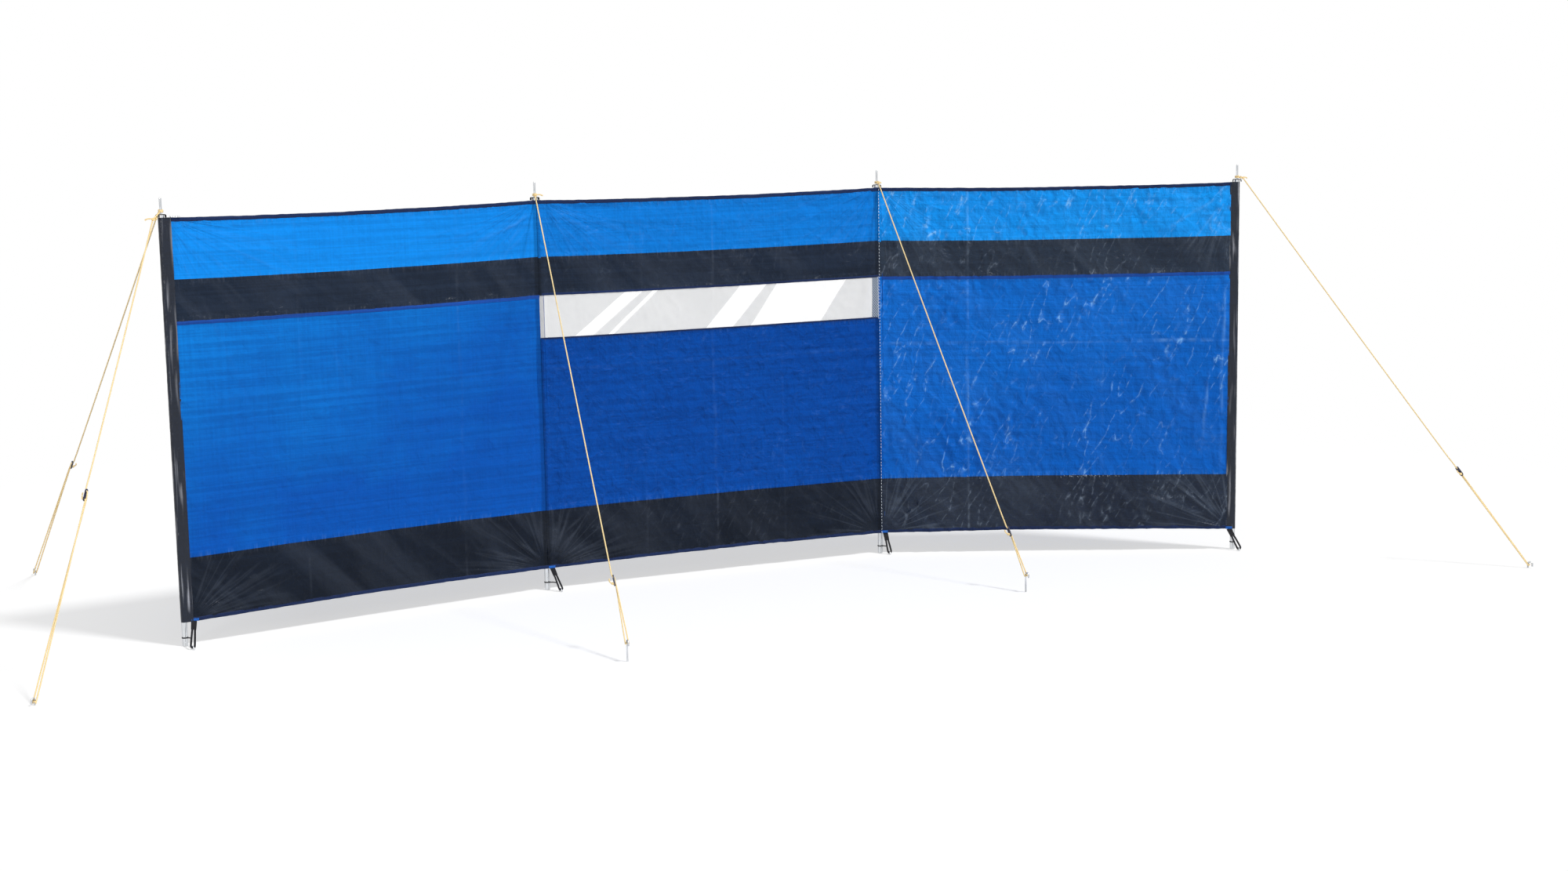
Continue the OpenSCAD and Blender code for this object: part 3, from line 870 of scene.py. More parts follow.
def grouped(tree, name, **inputs):
    """Places a shared node group in a material."""
    makers = {
        "woven tape": woven_group, "crumple": crumple_group, "glint": glint_group, "fan": fan_group,
        "wave": sheen_band_group, "scuff": scuff_group}
    if name not in GROUPS:
        GROUPS[name] = makers[name]()
    node = tree.nodes.new("ShaderNodeGroup")
    node.node_tree = GROUPS[name]
    for key, value in inputs.items():
        if isinstance(value, bpy.types.NodeSocket):
            tree.links.new(value, node.inputs[key])
        else:
            node.inputs[key].default_value = value
    return node.outputs


def new_material(name, **plain):
    """A material with its tree and shader, and the plain numbers of the shader set on it."""
    material = bpy.data.materials.new(name)
    material.use_nodes = True
    tree = material.node_tree
    shader = tree.nodes["Principled BSDF"]
    for key, value in plain.items():
        shader.inputs[key.replace("_", " ")].default_value = value
    return material, tree, shader


def uv_of(tree):
    """The piece's own UV map, in metres."""
    return tree.nodes.new("ShaderNodeTexCoord").outputs["UV"]


def bumped(tree, shader, layers):
    """Stacks bumps: (height socket, distance in metres) each."""
    normal = None
    for height, distance in layers:
        bump = add(tree, "Bump", Height=height, Distance=distance, Strength=1.0)
        if normal is not None:
            tree.links.new(normal, bump.inputs["Normal"])
        normal = bump.outputs[0]
    tree.links.new(normal, shader.inputs["Normal"])


def near_levels(tree, height, levels, reach):
    """1 on each of the given levels, falling to 0 at the reach."""
    near = None
    for at in levels:
        one = maths(tree, "ABSOLUTE", maths(tree, "SUBTRACT", height, at))
        near = one if near is None else maths(tree, "MINIMUM", near, one)
    return ranged(tree, near, 0.0, reach, 1.0, 0.0)


# Painted shade over a middle pole, where the sheeting lies double: how far left of the pole its
# middle is, half its width, and the width of its soft edge.
POLE_SHADE_SHIFT, POLE_SHADE_HALF, POLE_SHADE_EDGE = 0.004, 0.0165, 0.006
# Reach of the puckers on each side of a seam.
PUCKER_REACH = 0.022
# Depths in the bump, in metres.
WEAVE_DEPTH, DENT_DEPTH, GLINT_DEPTH, FAN_DEPTH, PUCKER_DEPTH = 0.00012, 0.010, 0.0007, 0.0014, 0.006


def pole_shade_mask(tree, along):
    """Mask of the painted shade over the two middle poles."""
    mask = None
    for pole in (1, 2):
        away = maths(tree, "ABSOLUTE", maths(tree, "SUBTRACT", along, pole * SPAN - POLE_SHADE_SHIFT))
        one = ranged(tree, away, POLE_SHADE_HALF - POLE_SHADE_EDGE, POLE_SHADE_HALF, 0.42, 0.0)
        mask = larger(tree, mask, one)
    return mask


def cloth_material(
        name, dark, light, slope, crumple=1.0, glints=0.0, gloss=0.38, specular=0.05,
        pale=(0.20, 0.42, 0.84), seams=(), corners=(), waves=0.0, crest_highlight_share=0.24, sheen=0.0):
    """Coated woven sheeting: a painted light and shade runs from dark to light by slope = (along, up,
    start). It has uneven tapes, painted shade in its dents, a painted highlight along the crests of its
    creases, glints and seam puckers, painted sheen in broad bands and over the fans, and a painted
    shade over a middle pole, where it lies double. The weave, dents, creases and puckers are in the bump."""
    material, tree, shader = new_material(name, Specular_IOR_Level=specular)
    uv = uv_of(tree)
    parts = add(tree, "SeparateXYZ", Vector=uv).outputs
    woven = grouped(tree, "woven tape", Vector=uv)
    dented = grouped(tree, "crumple", Vector=uv, Scale=19.0)
    glinted = grouped(tree, "glint", Vector=uv)
    crest_highlight = add(tree, "Attribute", {"attribute_name": "crest_highlight"}).outputs["Fac"]
    along = maths(tree, "MULTIPLY_ADD", parts[0], slope[0], slope[2])
    place = maths(tree, "MULTIPLY_ADD", parts[1], slope[1], along)
    cloudy = flat_noise(tree, uv, Scale=2.6, Detail=5.0, Roughness=0.6).outputs[0]
    place = maths(tree, "ADD", place, ranged(tree, cloudy, 0.3, 0.7, -0.16, 0.16), clamp=True)
    base = mixed(tree, place, dark, light)
    # Random tone from tape to tape, and painted shade in the dents of the crumple.
    shade = maths(
        tree, "MULTIPLY_ADD", ranged(tree, woven["Streak"], 0.42, 0.58), 0.32,
        ranged(tree, dented["Dents"], 0.0, 1.0, 0.22 * crumple, 0.0))
    base = mixed(tree, shade, base, shaded(dark, 0.55))
    at_seam = near_levels(tree, parts[1], seams, PUCKER_REACH) if seams else None
    # pale and soft, half way from pale to light, are the colours of the painted highlights and sheens.
    soft = between(pale, light, 0.5)
    # Painted highlight: paler colour along the crests of folds, creases and sleeve puckers.
    base = mixed(tree, maths(tree, "MULTIPLY", crest_highlight, crest_highlight_share), base, soft)
    painted_highlight = 0.0
    # Glints: painted highlights along thin creases, and painted sheen beside them.
    if glints:
        place_share = flat_noise(tree, uv, Scale=3.3, Detail=1.0).outputs[0]
        spread = maths(tree, "MULTIPLY", ranged(tree, place_share, 0.42, 0.62, 0.15, 1.0), glints)
        halo = maths(tree, "MULTIPLY", maths(tree, "MULTIPLY", glinted["Painted sheen"], spread), 0.65)
        base = mixed(tree, halo, base, soft)
        painted_highlight = maths(tree, "MULTIPLY", glinted["Painted highlight"], spread)
    fans = None
    for corner, reach, strength in corners:
        fan = grouped(tree, "fan", Vector=uv, Corner=(*corner, 0.0), Reach=reach)
        # Fans: a painted highlight on their crests, and a painted sheen over them by the sheen share.
        painted_highlight = maths(tree, "MAXIMUM", painted_highlight, maths(tree, "MULTIPLY", fan["Painted highlight"], strength))
        if sheen:
            base = mixed(tree, ranged(tree, fan["Height"], 0.4, 1.0, 0.0, sheen), base, soft)
        fans = fan["Height"] if fans is None else maths(tree, "ADD", fans, fan["Height"])
    puckers = flat_noise(
        tree, vector_maths(tree, "MULTIPLY", uv, (105.0, 14.0, 1.0)), Scale=1.0, Detail=2.0).outputs[0]
    # Painted highlight on the puckers beside the seams.
    if at_seam is not None:
        pucker_highlight = maths(tree, "MULTIPLY", ranged(tree, puckers, 0.52, 0.75, 0.0, 0.09), at_seam)
        painted_highlight = maths(tree, "MAXIMUM", painted_highlight, pucker_highlight)
    # Painted sheen in broad leaning bands.
    if waves:
        wave = grouped(tree, "wave", Vector=uv, Lean=0.9)["Mask"]
        base = mixed(tree, maths(tree, "MULTIPLY", wave, waves), base, between(pale, light, 0.35))
    # All the painted highlights, from glints, fan crests and seam puckers, in the pale highlight colour.
    base = mixed(tree, painted_highlight, base, pale)
    # Painted shade over the middle poles.
    base = mixed(tree, pole_shade_mask(tree, parts[0]), base, shaded(dark, 0.22))
    tree.links.new(base, shader.inputs["Base Color"])
    rough = maths(tree, "MULTIPLY_ADD", woven["Streak"], 0.18, gloss - 0.09)
    tree.links.new(rough, shader.inputs["Roughness"])
    layers = [
        (woven["Height"], WEAVE_DEPTH), (dented["Height"], DENT_DEPTH * crumple),
        (glinted["Height"], GLINT_DEPTH * crumple)]
    if fans is not None:
        layers.append((fans, FAN_DEPTH))
    if at_seam is not None:
        layers.append((maths(tree, "MULTIPLY", puckers, at_seam), PUCKER_DEPTH))
    bumped(tree, shader, layers)
    return material


def plain_cloth_material(name, colour, rough=0.6, pitch=0.0014, depth=0.00025, specular=0.2):
    """Binding, tape or thread: a fine weave with uneven shade."""
    material, tree, shader = new_material(name, Specular_IOR_Level=specular)
    uv = uv_of(tree)
    woven = grouped(tree, "woven tape", Vector=uv, Pitch=pitch)
    base = mixed(tree, ranged(tree, woven["Streak"], 0.3, 0.7), shaded(colour, 1.35), shaded(colour, 0.6))
    tree.links.new(base, shader.inputs["Base Color"])
    tree.links.new(maths(tree, "MULTIPLY_ADD", woven["Streak"], 0.2, rough - 0.1), shader.inputs["Roughness"])
    bumped(tree, shader, ((woven["Height"], depth),))
    return material


def rib(tree, place, pitch):
    """A wave from -1 to 1 with one crest in each pitch."""
    return maths(tree, "SINE", maths(tree, "MULTIPLY", place, 2 * math.pi / pitch))


def webbing_material(colour):
    """Webbing: raised ribs across its width and a fine rib along it, with painted highlight on their
    tops and painted shade between them.
    """
    material, tree, shader = new_material("black webbing", Specular_IOR_Level=0.25)
    parts = add(tree, "SeparateXYZ", Vector=uv_of(tree)).outputs
    ribs = rib(tree, parts[1], 0.0016)
    lines = rib(tree, parts[0], 0.0011)
    height = maths(tree, "MULTIPLY_ADD", lines, 0.3, ribs)
    # Painted light: the ribs are paler on top and darker between.
    lit = ranged(tree, height, -1.2, 1.3)
    base = mixed(tree, lit, shaded(colour, 0.4), shaded(colour, 2.2, 0.004))
    tree.links.new(base, shader.inputs["Base Color"])
    tree.links.new(ranged(tree, height, -1.3, 1.3, 0.75, 0.45), shader.inputs["Roughness"])
    bumped(tree, shader, ((height, 0.00022),))
    return material


# Strands of a cord: how many lie side by side on a span of its surface, that
# span, and the length of a strand's turn along the cord.
STRANDS, STRAND_SPAN, STRAND_PITCH = 4, 0.0094, 0.0042


def cord_material(colour):
    """Braided cord: strands that cross on the surface, with a painted highlight on their tops and a
    redder painted shade between them, and a painted shade towards its outline, by the angle of view."""
    material, tree, shader = new_material("braided cord", Specular_IOR_Level=0.2)
    parts = add(tree, "SeparateXYZ", Vector=uv_of(tree)).outputs
    around = maths(tree, "MULTIPLY", parts[0], 2 * math.pi * STRANDS / STRAND_SPAN)
    strands = [
        maths(tree, "SINE", maths(tree, "MULTIPLY_ADD", parts[1], sign * 2 * math.pi / STRAND_PITCH, around))
        for sign in (1, -1)
    ]
    height = maths(tree, "MAXIMUM", strands[0], strands[1])
    dirt = flat_noise(tree, uv_of(tree), Scale=60.0, Detail=3.0).outputs[0]
    lit = ranged(tree, maths(tree, "MULTIPLY_ADD", dirt, 0.8, height), -0.1, 1.5)
    deep = (0.88 * colour[0], 0.7 * colour[1], 0.5 * colour[2])
    pale = (min(1.0, 1.05 * colour[0]), min(1.0, 1.15 * colour[1]), min(1.0, 1.5 * colour[2]))
    # Painted shade: darker and redder where the cord turns away from view.
    outline = ranged(tree, add(tree, "LayerWeight", Blend=0.5).outputs["Facing"], 0.75, 1.0)
    body = mixed(tree, lit, deep, pale)
    rim = (0.75 * colour[0], 0.42 * colour[1], 0.18 * colour[2])
    tree.links.new(mixed(tree, outline, body, rim), shader.inputs["Base Color"])
    tree.links.new(ranged(tree, height, -1.0, 1.0, 0.7, 0.5), shader.inputs["Roughness"])
    bumped(tree, shader, ((height, 0.0003),))
    return material


def steel_material(name, colour, drawn, rough, dull):
    """Plated steel: bright, with fine streaks along its length, dull scuffs, and a painted dark
    reflection towards its outline, by the angle of view.
    """
    material, tree, shader = new_material(name, Metallic=1.0)
    place = tree.nodes.new("ShaderNodeTexCoord").outputs["Object"]
    scuffs = grouped(tree, "scuff", Vector=place, Scale=160.0, Drawn=drawn)
    body = mixed(tree, scuffs["Mask"], colour, shaded(colour, dull))
    # Painted reflection: darker towards the outline, where the steel turns away from view.
    outline = ranged(tree, add(tree, "LayerWeight", Blend=0.5).outputs["Facing"], 0.45, 0.9)
    rim = (0.16 * colour[0], 0.18 * colour[1], 0.24 * colour[2])
    tree.links.new(mixed(tree, outline, body, rim), shader.inputs["Base Color"])
    tree.links.new(ranged(tree, scuffs["Mask"], 0.0, 1.0, rough, rough + 0.22), shader.inputs["Roughness"])
    bumped(tree, shader, ((scuffs["Height"], 0.0001),))
    return material


def plastic_material(colour):
    """Moulded plastic with a fine grain and paler scuffs."""
    material, tree, shader = new_material("runner plastic", Specular_IOR_Level=0.45)
    place = tree.nodes.new("ShaderNodeTexCoord").outputs["Object"]
    scuffs = grouped(tree, "scuff", Vector=place, Scale=320.0, Drawn=1.0)
    base = mixed(tree, scuffs["Mask"], colour, shaded(colour, 2.5, 0.01))
    tree.links.new(base, shader.inputs["Base Color"])
    tree.links.new(ranged(tree, scuffs["Mask"], 0.0, 1.0, 0.35, 0.6), shader.inputs["Roughness"])
    bumped(tree, shader, ((scuffs["Height"], 0.00015),))
    return material


# Painted glare on the film: slanting bands that are whiter and let more of the background
# through; where each starts and stops along its foot, and how far it leans.
FILM_GLARE_BANDS = ((0.130, 0.205, 1.28), (0.264, 0.288, 1.16), (0.67, 0.785, 0.91), (0.86, 1.165, 0.71))


def film_material(colour, start):
    """Soft clear film: a pale cast that lets the background through, with slanting bands of painted
    glare, whiter and clearer, and slight ripples."""
    material, tree, shader = new_material("clear film", Specular_IOR_Level=0.3)
    uv = uv_of(tree)
    parts = add(tree, "SeparateXYZ", Vector=uv).outputs
    rise = maths(tree, "SUBTRACT", parts[1], WINDOW_FOOT)
    run = maths(tree, "SUBTRACT", parts[0], start)
    bands = None
    for low, high, lean in FILM_GLARE_BANDS:
        slanted = maths(tree, "MULTIPLY_ADD", rise, -lean, run)
        one = maths(
            tree, "MULTIPLY", ranged(tree, slanted, low, low + 0.004),
            ranged(tree, slanted, high, high + 0.004, 1.0, 0.0))
        bands = larger(tree, bands, one)
    haze = flat_noise(tree, uv, Scale=7.0, Detail=3.0).outputs[0]
    tree.links.new(mixed(tree, bands, colour, (0.97, 0.97, 0.97)), shader.inputs["Base Color"])
    alpha = maths(
        tree, "MULTIPLY_ADD", ranged(tree, haze, 0.3, 0.7), 0.06,
        maths(tree, "MULTIPLY_ADD", bands, -0.34, 0.48))
    tree.links.new(alpha, shader.inputs["Alpha"])
    tree.links.new(ranged(tree, haze, 0.3, 0.7, 0.08, 0.16), shader.inputs["Roughness"])
    bumped(tree, shader, ((haze, 0.002),))
    return material


def netting_material(colour, dark):
    """Open netting under a zigzag stitch: crossing light threads on a dark ground."""
    material, tree, shader = new_material("netting", Specular_IOR_Level=0.3, Roughness=0.6)
    parts = add(tree, "SeparateXYZ", Vector=uv_of(tree)).outputs
    strands = [
        rib(tree, maths(tree, "MULTIPLY_ADD", parts[1], sign * 0.8, parts[0]), 0.0085)
        for sign in (1, -1)
    ]
    height = ranged(tree, maths(tree, "MAXIMUM", strands[0], strands[1]), 0.2, 0.95)
    tree.links.new(mixed(tree, height, dark, shaded(colour, 0.55)), shader.inputs["Base Color"])
    bumped(tree, shader, ((height, 0.0006),))
    return material


MADE = {}


def times(colour, k):
    """A colour made lighter or darker. Its blue changes less than its red and green."""
    return tuple(min(1.0, c * k ** p) for c, p in zip(colour, (1.0, 1.0, 0.7)))


def bay_corners(bay, top, foot, strength):
    """Corners of a bay in the cloth's own map, with the reach of the creases that run out from them
    and the strength of the painted highlight on their crests."""
    left, right = bay * SPAN, (bay + 1) * SPAN
    return [
        ((u, v), reach, strength)
        for v, reach in ((TOP_EDGE, top), (FOOT_EDGE, foot)) if reach
        for u in (left + 0.012, right - 0.012)
    ]


def finish_of(name):
    """The material of a finish, made when it is first asked for."""
    if name in MADE:
        return MADE[name]
    c = bpy.context.scene.windbreak_colours
    azure, royal, charcoal, navy = (tuple(x) for x in (c.azure, c.royal, c.charcoal, c.navy))
    azure_seams, dark_seams = (BAND_TOP, STRIP_TOP), (BAND_TOP, BAND_FOOT, SKIRT_TOP)
    # grey and white are the colours of the painted highlights on the dark cloths and on the right bay.
    grey, white = (0.20, 0.23, 0.29), (0.36, 0.68, 1.0)
    darker_charcoal = shaded(charcoal, 0.42)
    dark_slope = (0.0, 0.8, -0.05)
    thread = {"rough": 0.5, "pitch": 0.0006, "depth": 0.0001}
    # Each bay has its own lighter or darker copy of each cloth, and each copy runs from dark to light along
    # its slope: painted light and shade for how each bay, and each part of it, stands to the light.
    makers = {
        "upper 1": lambda: cloth_material(
            "azure sheeting, left", times(azure, 0.90), times(azure, 1.12), (-0.35, 0.0, 0.95),
            crumple=0.35, seams=azure_seams, corners=bay_corners(0, 0.75, 0, 0.03)),
        "upper 2": lambda: cloth_material(
            "azure sheeting, middle", times(azure, 0.74), times(azure, 0.94), (0.0, 0.0, 0.5),
            crumple=0.6, glints=0.05, seams=azure_seams, corners=bay_corners(1, 0.7, 0, 0.04)),
        "upper 3": lambda: cloth_material(
            "azure sheeting, right", times(azure, 1.1), times(azure, 1.6), (0.3, 0.0, -0.55),
            crumple=0.75, glints=0.55, pale=white, seams=azure_seams,
            corners=bay_corners(2, 0.6, 0, 0.02), waves=0.06, crest_highlight_share=0.5),
        "main 1": lambda: cloth_material(
            "royal sheeting, left", times(royal, 0.92), shaded(azure, 0.85), (-0.42, 1.05, -0.22),
            crumple=0.4, seams=(SKIRT_TOP,)),
        "main 2": lambda: cloth_material(
            "royal sheeting, middle", times(royal, 0.62), times(royal, 0.82), (0.0, -0.35, 0.75),
            crumple=0.9, glints=0.05, seams=(SKIRT_TOP, WINDOW_FOOT)),
        "main 3": lambda: cloth_material(
            "royal sheeting, right", times(royal, 1.3), times(royal, 2.1), (-0.2, 1.1, 0.15),
            crumple=0.75, glints=0.5, pale=white, seams=(SKIRT_TOP, BAND_FOOT), waves=0.04, crest_highlight_share=0.5),
        "dark 1": lambda: cloth_material(
            "charcoal sheeting, left", darker_charcoal, times(charcoal, 1.1), dark_slope,
            crumple=0.6, gloss=0.30, specular=0.10, pale=grey, seams=dark_seams,
            corners=bay_corners(0, 0.5, 0.7, 0.0), waves=0.14, crest_highlight_share=0.5, sheen=0.16),
        "dark 2": lambda: cloth_material(
            "charcoal sheeting, middle", darker_charcoal, times(charcoal, 1.05), dark_slope,
            crumple=0.65, glints=0.1, gloss=0.30, specular=0.10, pale=grey, seams=dark_seams,
            corners=bay_corners(1, 0.5, 0.7, 0.0), waves=0.14, crest_highlight_share=0.5, sheen=0.18),
        "dark 3": lambda: cloth_material(
            "charcoal sheeting, right", times(charcoal, 0.8), times(charcoal, 1.4), dark_slope,
            crumple=0.75, glints=0.4, gloss=0.28, specular=0.16, pale=(0.27, 0.33, 0.42),
            seams=dark_seams, corners=bay_corners(2, 0.6, 0.7, 0.0), waves=0.14, crest_highlight_share=0.7, sheen=0.3),
        "sleeve": lambda: cloth_material(
            "sleeve sheeting", darker_charcoal, times(charcoal, 0.7), (0.0, 0.1, 0.4),
            crumple=0.4, gloss=0.20, specular=0.35, pale=(0.80, 0.82, 0.90), crest_highlight_share=0.75),
        "pocket": lambda: cloth_material(
            "pocket sheeting", times(royal, 0.7), times(royal, 1.0), (0.0, 0.1, 0.4)),
        "piping": lambda: plain_cloth_material("royal piping", (0.003, 0.055, 0.30)),
        "navy": lambda: plain_cloth_material("navy binding", navy),
        "tab": lambda: plain_cloth_material("blue tab", (0.01, 0.10, 0.42)),
        "thread": lambda: plain_cloth_material("light thread", tuple(c.thread), **thread),
        "dark thread": lambda: plain_cloth_material("dark thread", (0.01, 0.02, 0.08), **thread),
        "webbing": lambda: webbing_material(tuple(c.webbing)),
        "cord": lambda: cord_material(tuple(c.cord)),
        "film": lambda: film_material(tuple(c.film), SPAN),
        "netting": lambda: netting_material(tuple(c.thread), (0.01, 0.05, 0.12)),
        "tube": lambda: steel_material("pole steel", tuple(c.steel), drawn=0.02, rough=0.2, dull=0.62),
        "rod": lambda: steel_material("rod steel", tuple(c.steel), drawn=0.1, rough=0.22, dull=0.5),
        "plastic": lambda: plastic_material(tuple(c.plastic)),
    }
    MADE[name] = makers[name]()
    return MADE[name]


# ---------------------------------------------------------------- operators

class WINDBREAK_OT_sheets(bpy.types.Operator):
    """Builds the strips of sheeting of each bay: upper strip, dark band, main panel and skirt"""

    bl_idname = "windbreak.sheets"
    bl_label = "Build sheeting"

    def execute(self, context):
        cloth = context.scene.windbreak_cloth
        lap, lift = cloth.lap, 1.1 * cloth.thickness
        for bay in BAYS:
            main_top = WINDOW_FOOT if bay == WINDOW_BAY else BAND_FOOT
            rows = (
                ("upper_strip", BAND_TOP, STRIP_TOP + lap, 0.0, f"upper {bay + 1}", "blue_sheeting"),
                ("dark_band", BAND_FOOT, BAND_TOP + lap, lift, f"dark {bay + 1}", "dark_sheeting"),
                ("main_panel", SKIRT_TOP - lap, main_top + lap, 0.0, f"main {bay + 1}", "blue_sheeting"),
                ("skirt", HEM_TOP - lap, SKIRT_TOP, lift, f"dark {bay + 1}", "dark_sheeting"),
            )
            for kind, low, high, out, finish, slot in rows:
                node = f"{kind}_{bay + 1}"
                piece = build(
                    f"sheet_{node}", strip(bay, low, high, cloth, out), finish_of(finish), (node,))
        return {"FINISHED"}


# Width of the netting beside the window, and how far it laps over the film.
NETTING_WIDTH, NETTING_LAP = 0.026, 0.003


class WINDBREAK_OT_window(bpy.types.Operator):
    """Builds the clear window of the middle bay and the netting beside it"""

    bl_idname = "windbreak.window"
    bl_label = "Build window"

    def execute(self, context):
        cloth = context.scene.windbreak_cloth
        first, last = bay_ends(WINDOW_BAY, cloth)
        edge = last - NETTING_WIDTH
        low, high = WINDOW_FOOT, BAND_FOOT + cloth.lap
        film = build(
            "window_film", strip(WINDOW_BAY, low, high, cloth, -0.4 * cloth.thickness, first, edge),
            finish_of("film"), ("window_panel",))
        net = build(
            "window_netting",
            strip(WINDOW_BAY, low, high, cloth, 0.6 * cloth.thickness, edge - NETTING_LAP, last),
            finish_of("netting"))
        return {"FINISHED"}


# Threads: how far they stand off the sheeting, their pitch, length and radius,
# and how far they lean to each side in turn.
HEM_THREAD = {"lift": 0.0018, "pitch": 0.0062, "length": 0.0042, "radius": 0.0005}
FINE_THREAD = {"lift": 0.0014, "pitch": 0.0065, "length": 0.0045, "radius": 0.0005}
WINDOW_THREAD = {"lift": 0.0007, "pitch": 0.0085, "length": 0.0045, "radius": 0.0005}
SIDE_THREAD = {"lift": 0.0022, "pitch": 0.012, "length": 0.004, "radius": 0.0007}
LONG_THREAD = {"lift": 0.0022, "pitch": 0.0125, "length": 0.0085, "radius": 0.0009, "slant": 0.18}
SHORT_THREAD = {"lift": 0.0022, "pitch": 0.0065, "length": 0.0075, "radius": 0.0008, "slant": 0.6}
# Distance between the rings of a tape that is laid along the sheeting.
TAPE_STEP = 0.006
# Thickness of a bound hem, and distance of its stitches from its inner edge.
HEM_THICK, HEM_INSET = 0.0034, 0.003


class WINDBREAK_OT_hems(bpy.types.Operator):
    """Builds the bound hems along the top and the foot of each bay, with their stitches"""

    bl_idname = "windbreak.hems"
    bl_label = "Build hems"

    def execute(self, context):
        cloth = context.scene.windbreak_cloth
        for bay in BAYS:
            first, last = bay_ends(bay, cloth)
            s = np.linspace(first - 0.001, last + 0.001, int((last - first) / TAPE_STEP))
            for kind, low, high in (("top_hem", STRIP_TOP, TOP_EDGE), ("bottom_hem", FOOT_EDGE, HEM_TOP)):
                tape = ribbon_on_cloth(bay, s, (low + high) / 2, high - low, HEM_THICK, cloth)
                build(
                    f"binding_{kind}_{bay + 1}", tape, finish_of("navy"),
                    (f"{kind}_{bay + 1}",))
                at = np.arange(first + 0.004, last, HEM_THREAD["pitch"])
                z = low + HEM_INSET if kind == "top_hem" else high - HEM_INSET
                points = cloth_point(bay, at, np.full(at.shape, z), cloth, HEM_THREAD["lift"])
                seam = sewn(points, bay, HEM_THREAD["length"], HEM_THREAD["radius"])
                build(f"stitches_{kind}_{bay + 1}", seam, finish_of("dark thread"))
        return {"FINISHED"}


# Sleeves at the ends and pockets behind the middle poles: how far their cloth
# stands off the pole, how thick it is, and how wide it is laid flat.
SLEEVE_GAP, SLEEVE_WALL, SLEEVE_WIDTH = 0.0015, 0.0007, 0.098
POCKET_GAP, POCKET_WALL, POCKET_WIDTH = 0.0014, 0.0008, 0.062
# An end sleeve's outline: the radius of the tip where it is drawn to its seam,
# and how many points lie on its arc round the pole and on its tip.
TIP_R, ARC_POINTS, TIP_POINTS = 0.0012, 28, 6


def sleeve_outline(radius, tip, tip_radius):
    """Outline of a sleeve that is drawn to a seam: the long arc round the pole, a straight side to
    the tip, a small arc round the tip, and the other side. Also, how slack each point is, from 0 on
    the pole to 1 on the sides."""
    reach = math.hypot(*tip)
    mid = math.atan2(tip[1], tip[0])
    open_angle = math.acos((radius - tip_radius) / reach)
    a, b = mid + open_angle, mid + 2 * math.pi - open_angle
    around = np.linspace(a, b, ARC_POINTS)
    round_tip = np.linspace(mid - open_angle, mid + open_angle, TIP_POINTS)
    pole_arc = radius * np.stack([np.cos(around), np.sin(around)], axis=1)
    tip_arc = np.array(tip) + tip_radius * np.stack([np.cos(round_tip), np.sin(round_tip)], axis=1)
    t = np.linspace(0, 1, 9)[1:-1, None]
    down = pole_arc[-1] * (1 - t) + tip_arc[0] * t
    back = tip_arc[-1] * (1 - t) + pole_arc[0] * t
    outline = np.concatenate([pole_arc, down, tip_arc, back])
    slack = np.sin(np.pi * t[:, 0])
    weight = np.concatenate([np.zeros(ARC_POINTS), slack, np.zeros(TIP_POINTS), slack])
    return outline, weight


def outward(outline):
    """Unit vectors square to a closed outline that turns to the left, pointing out of it."""
    tangent = np.roll(outline, -1, 0) - np.roll(outline, 1, 0)
    return unit(np.stack([tangent[:, 1], -tangent[:, 0]], axis=1))


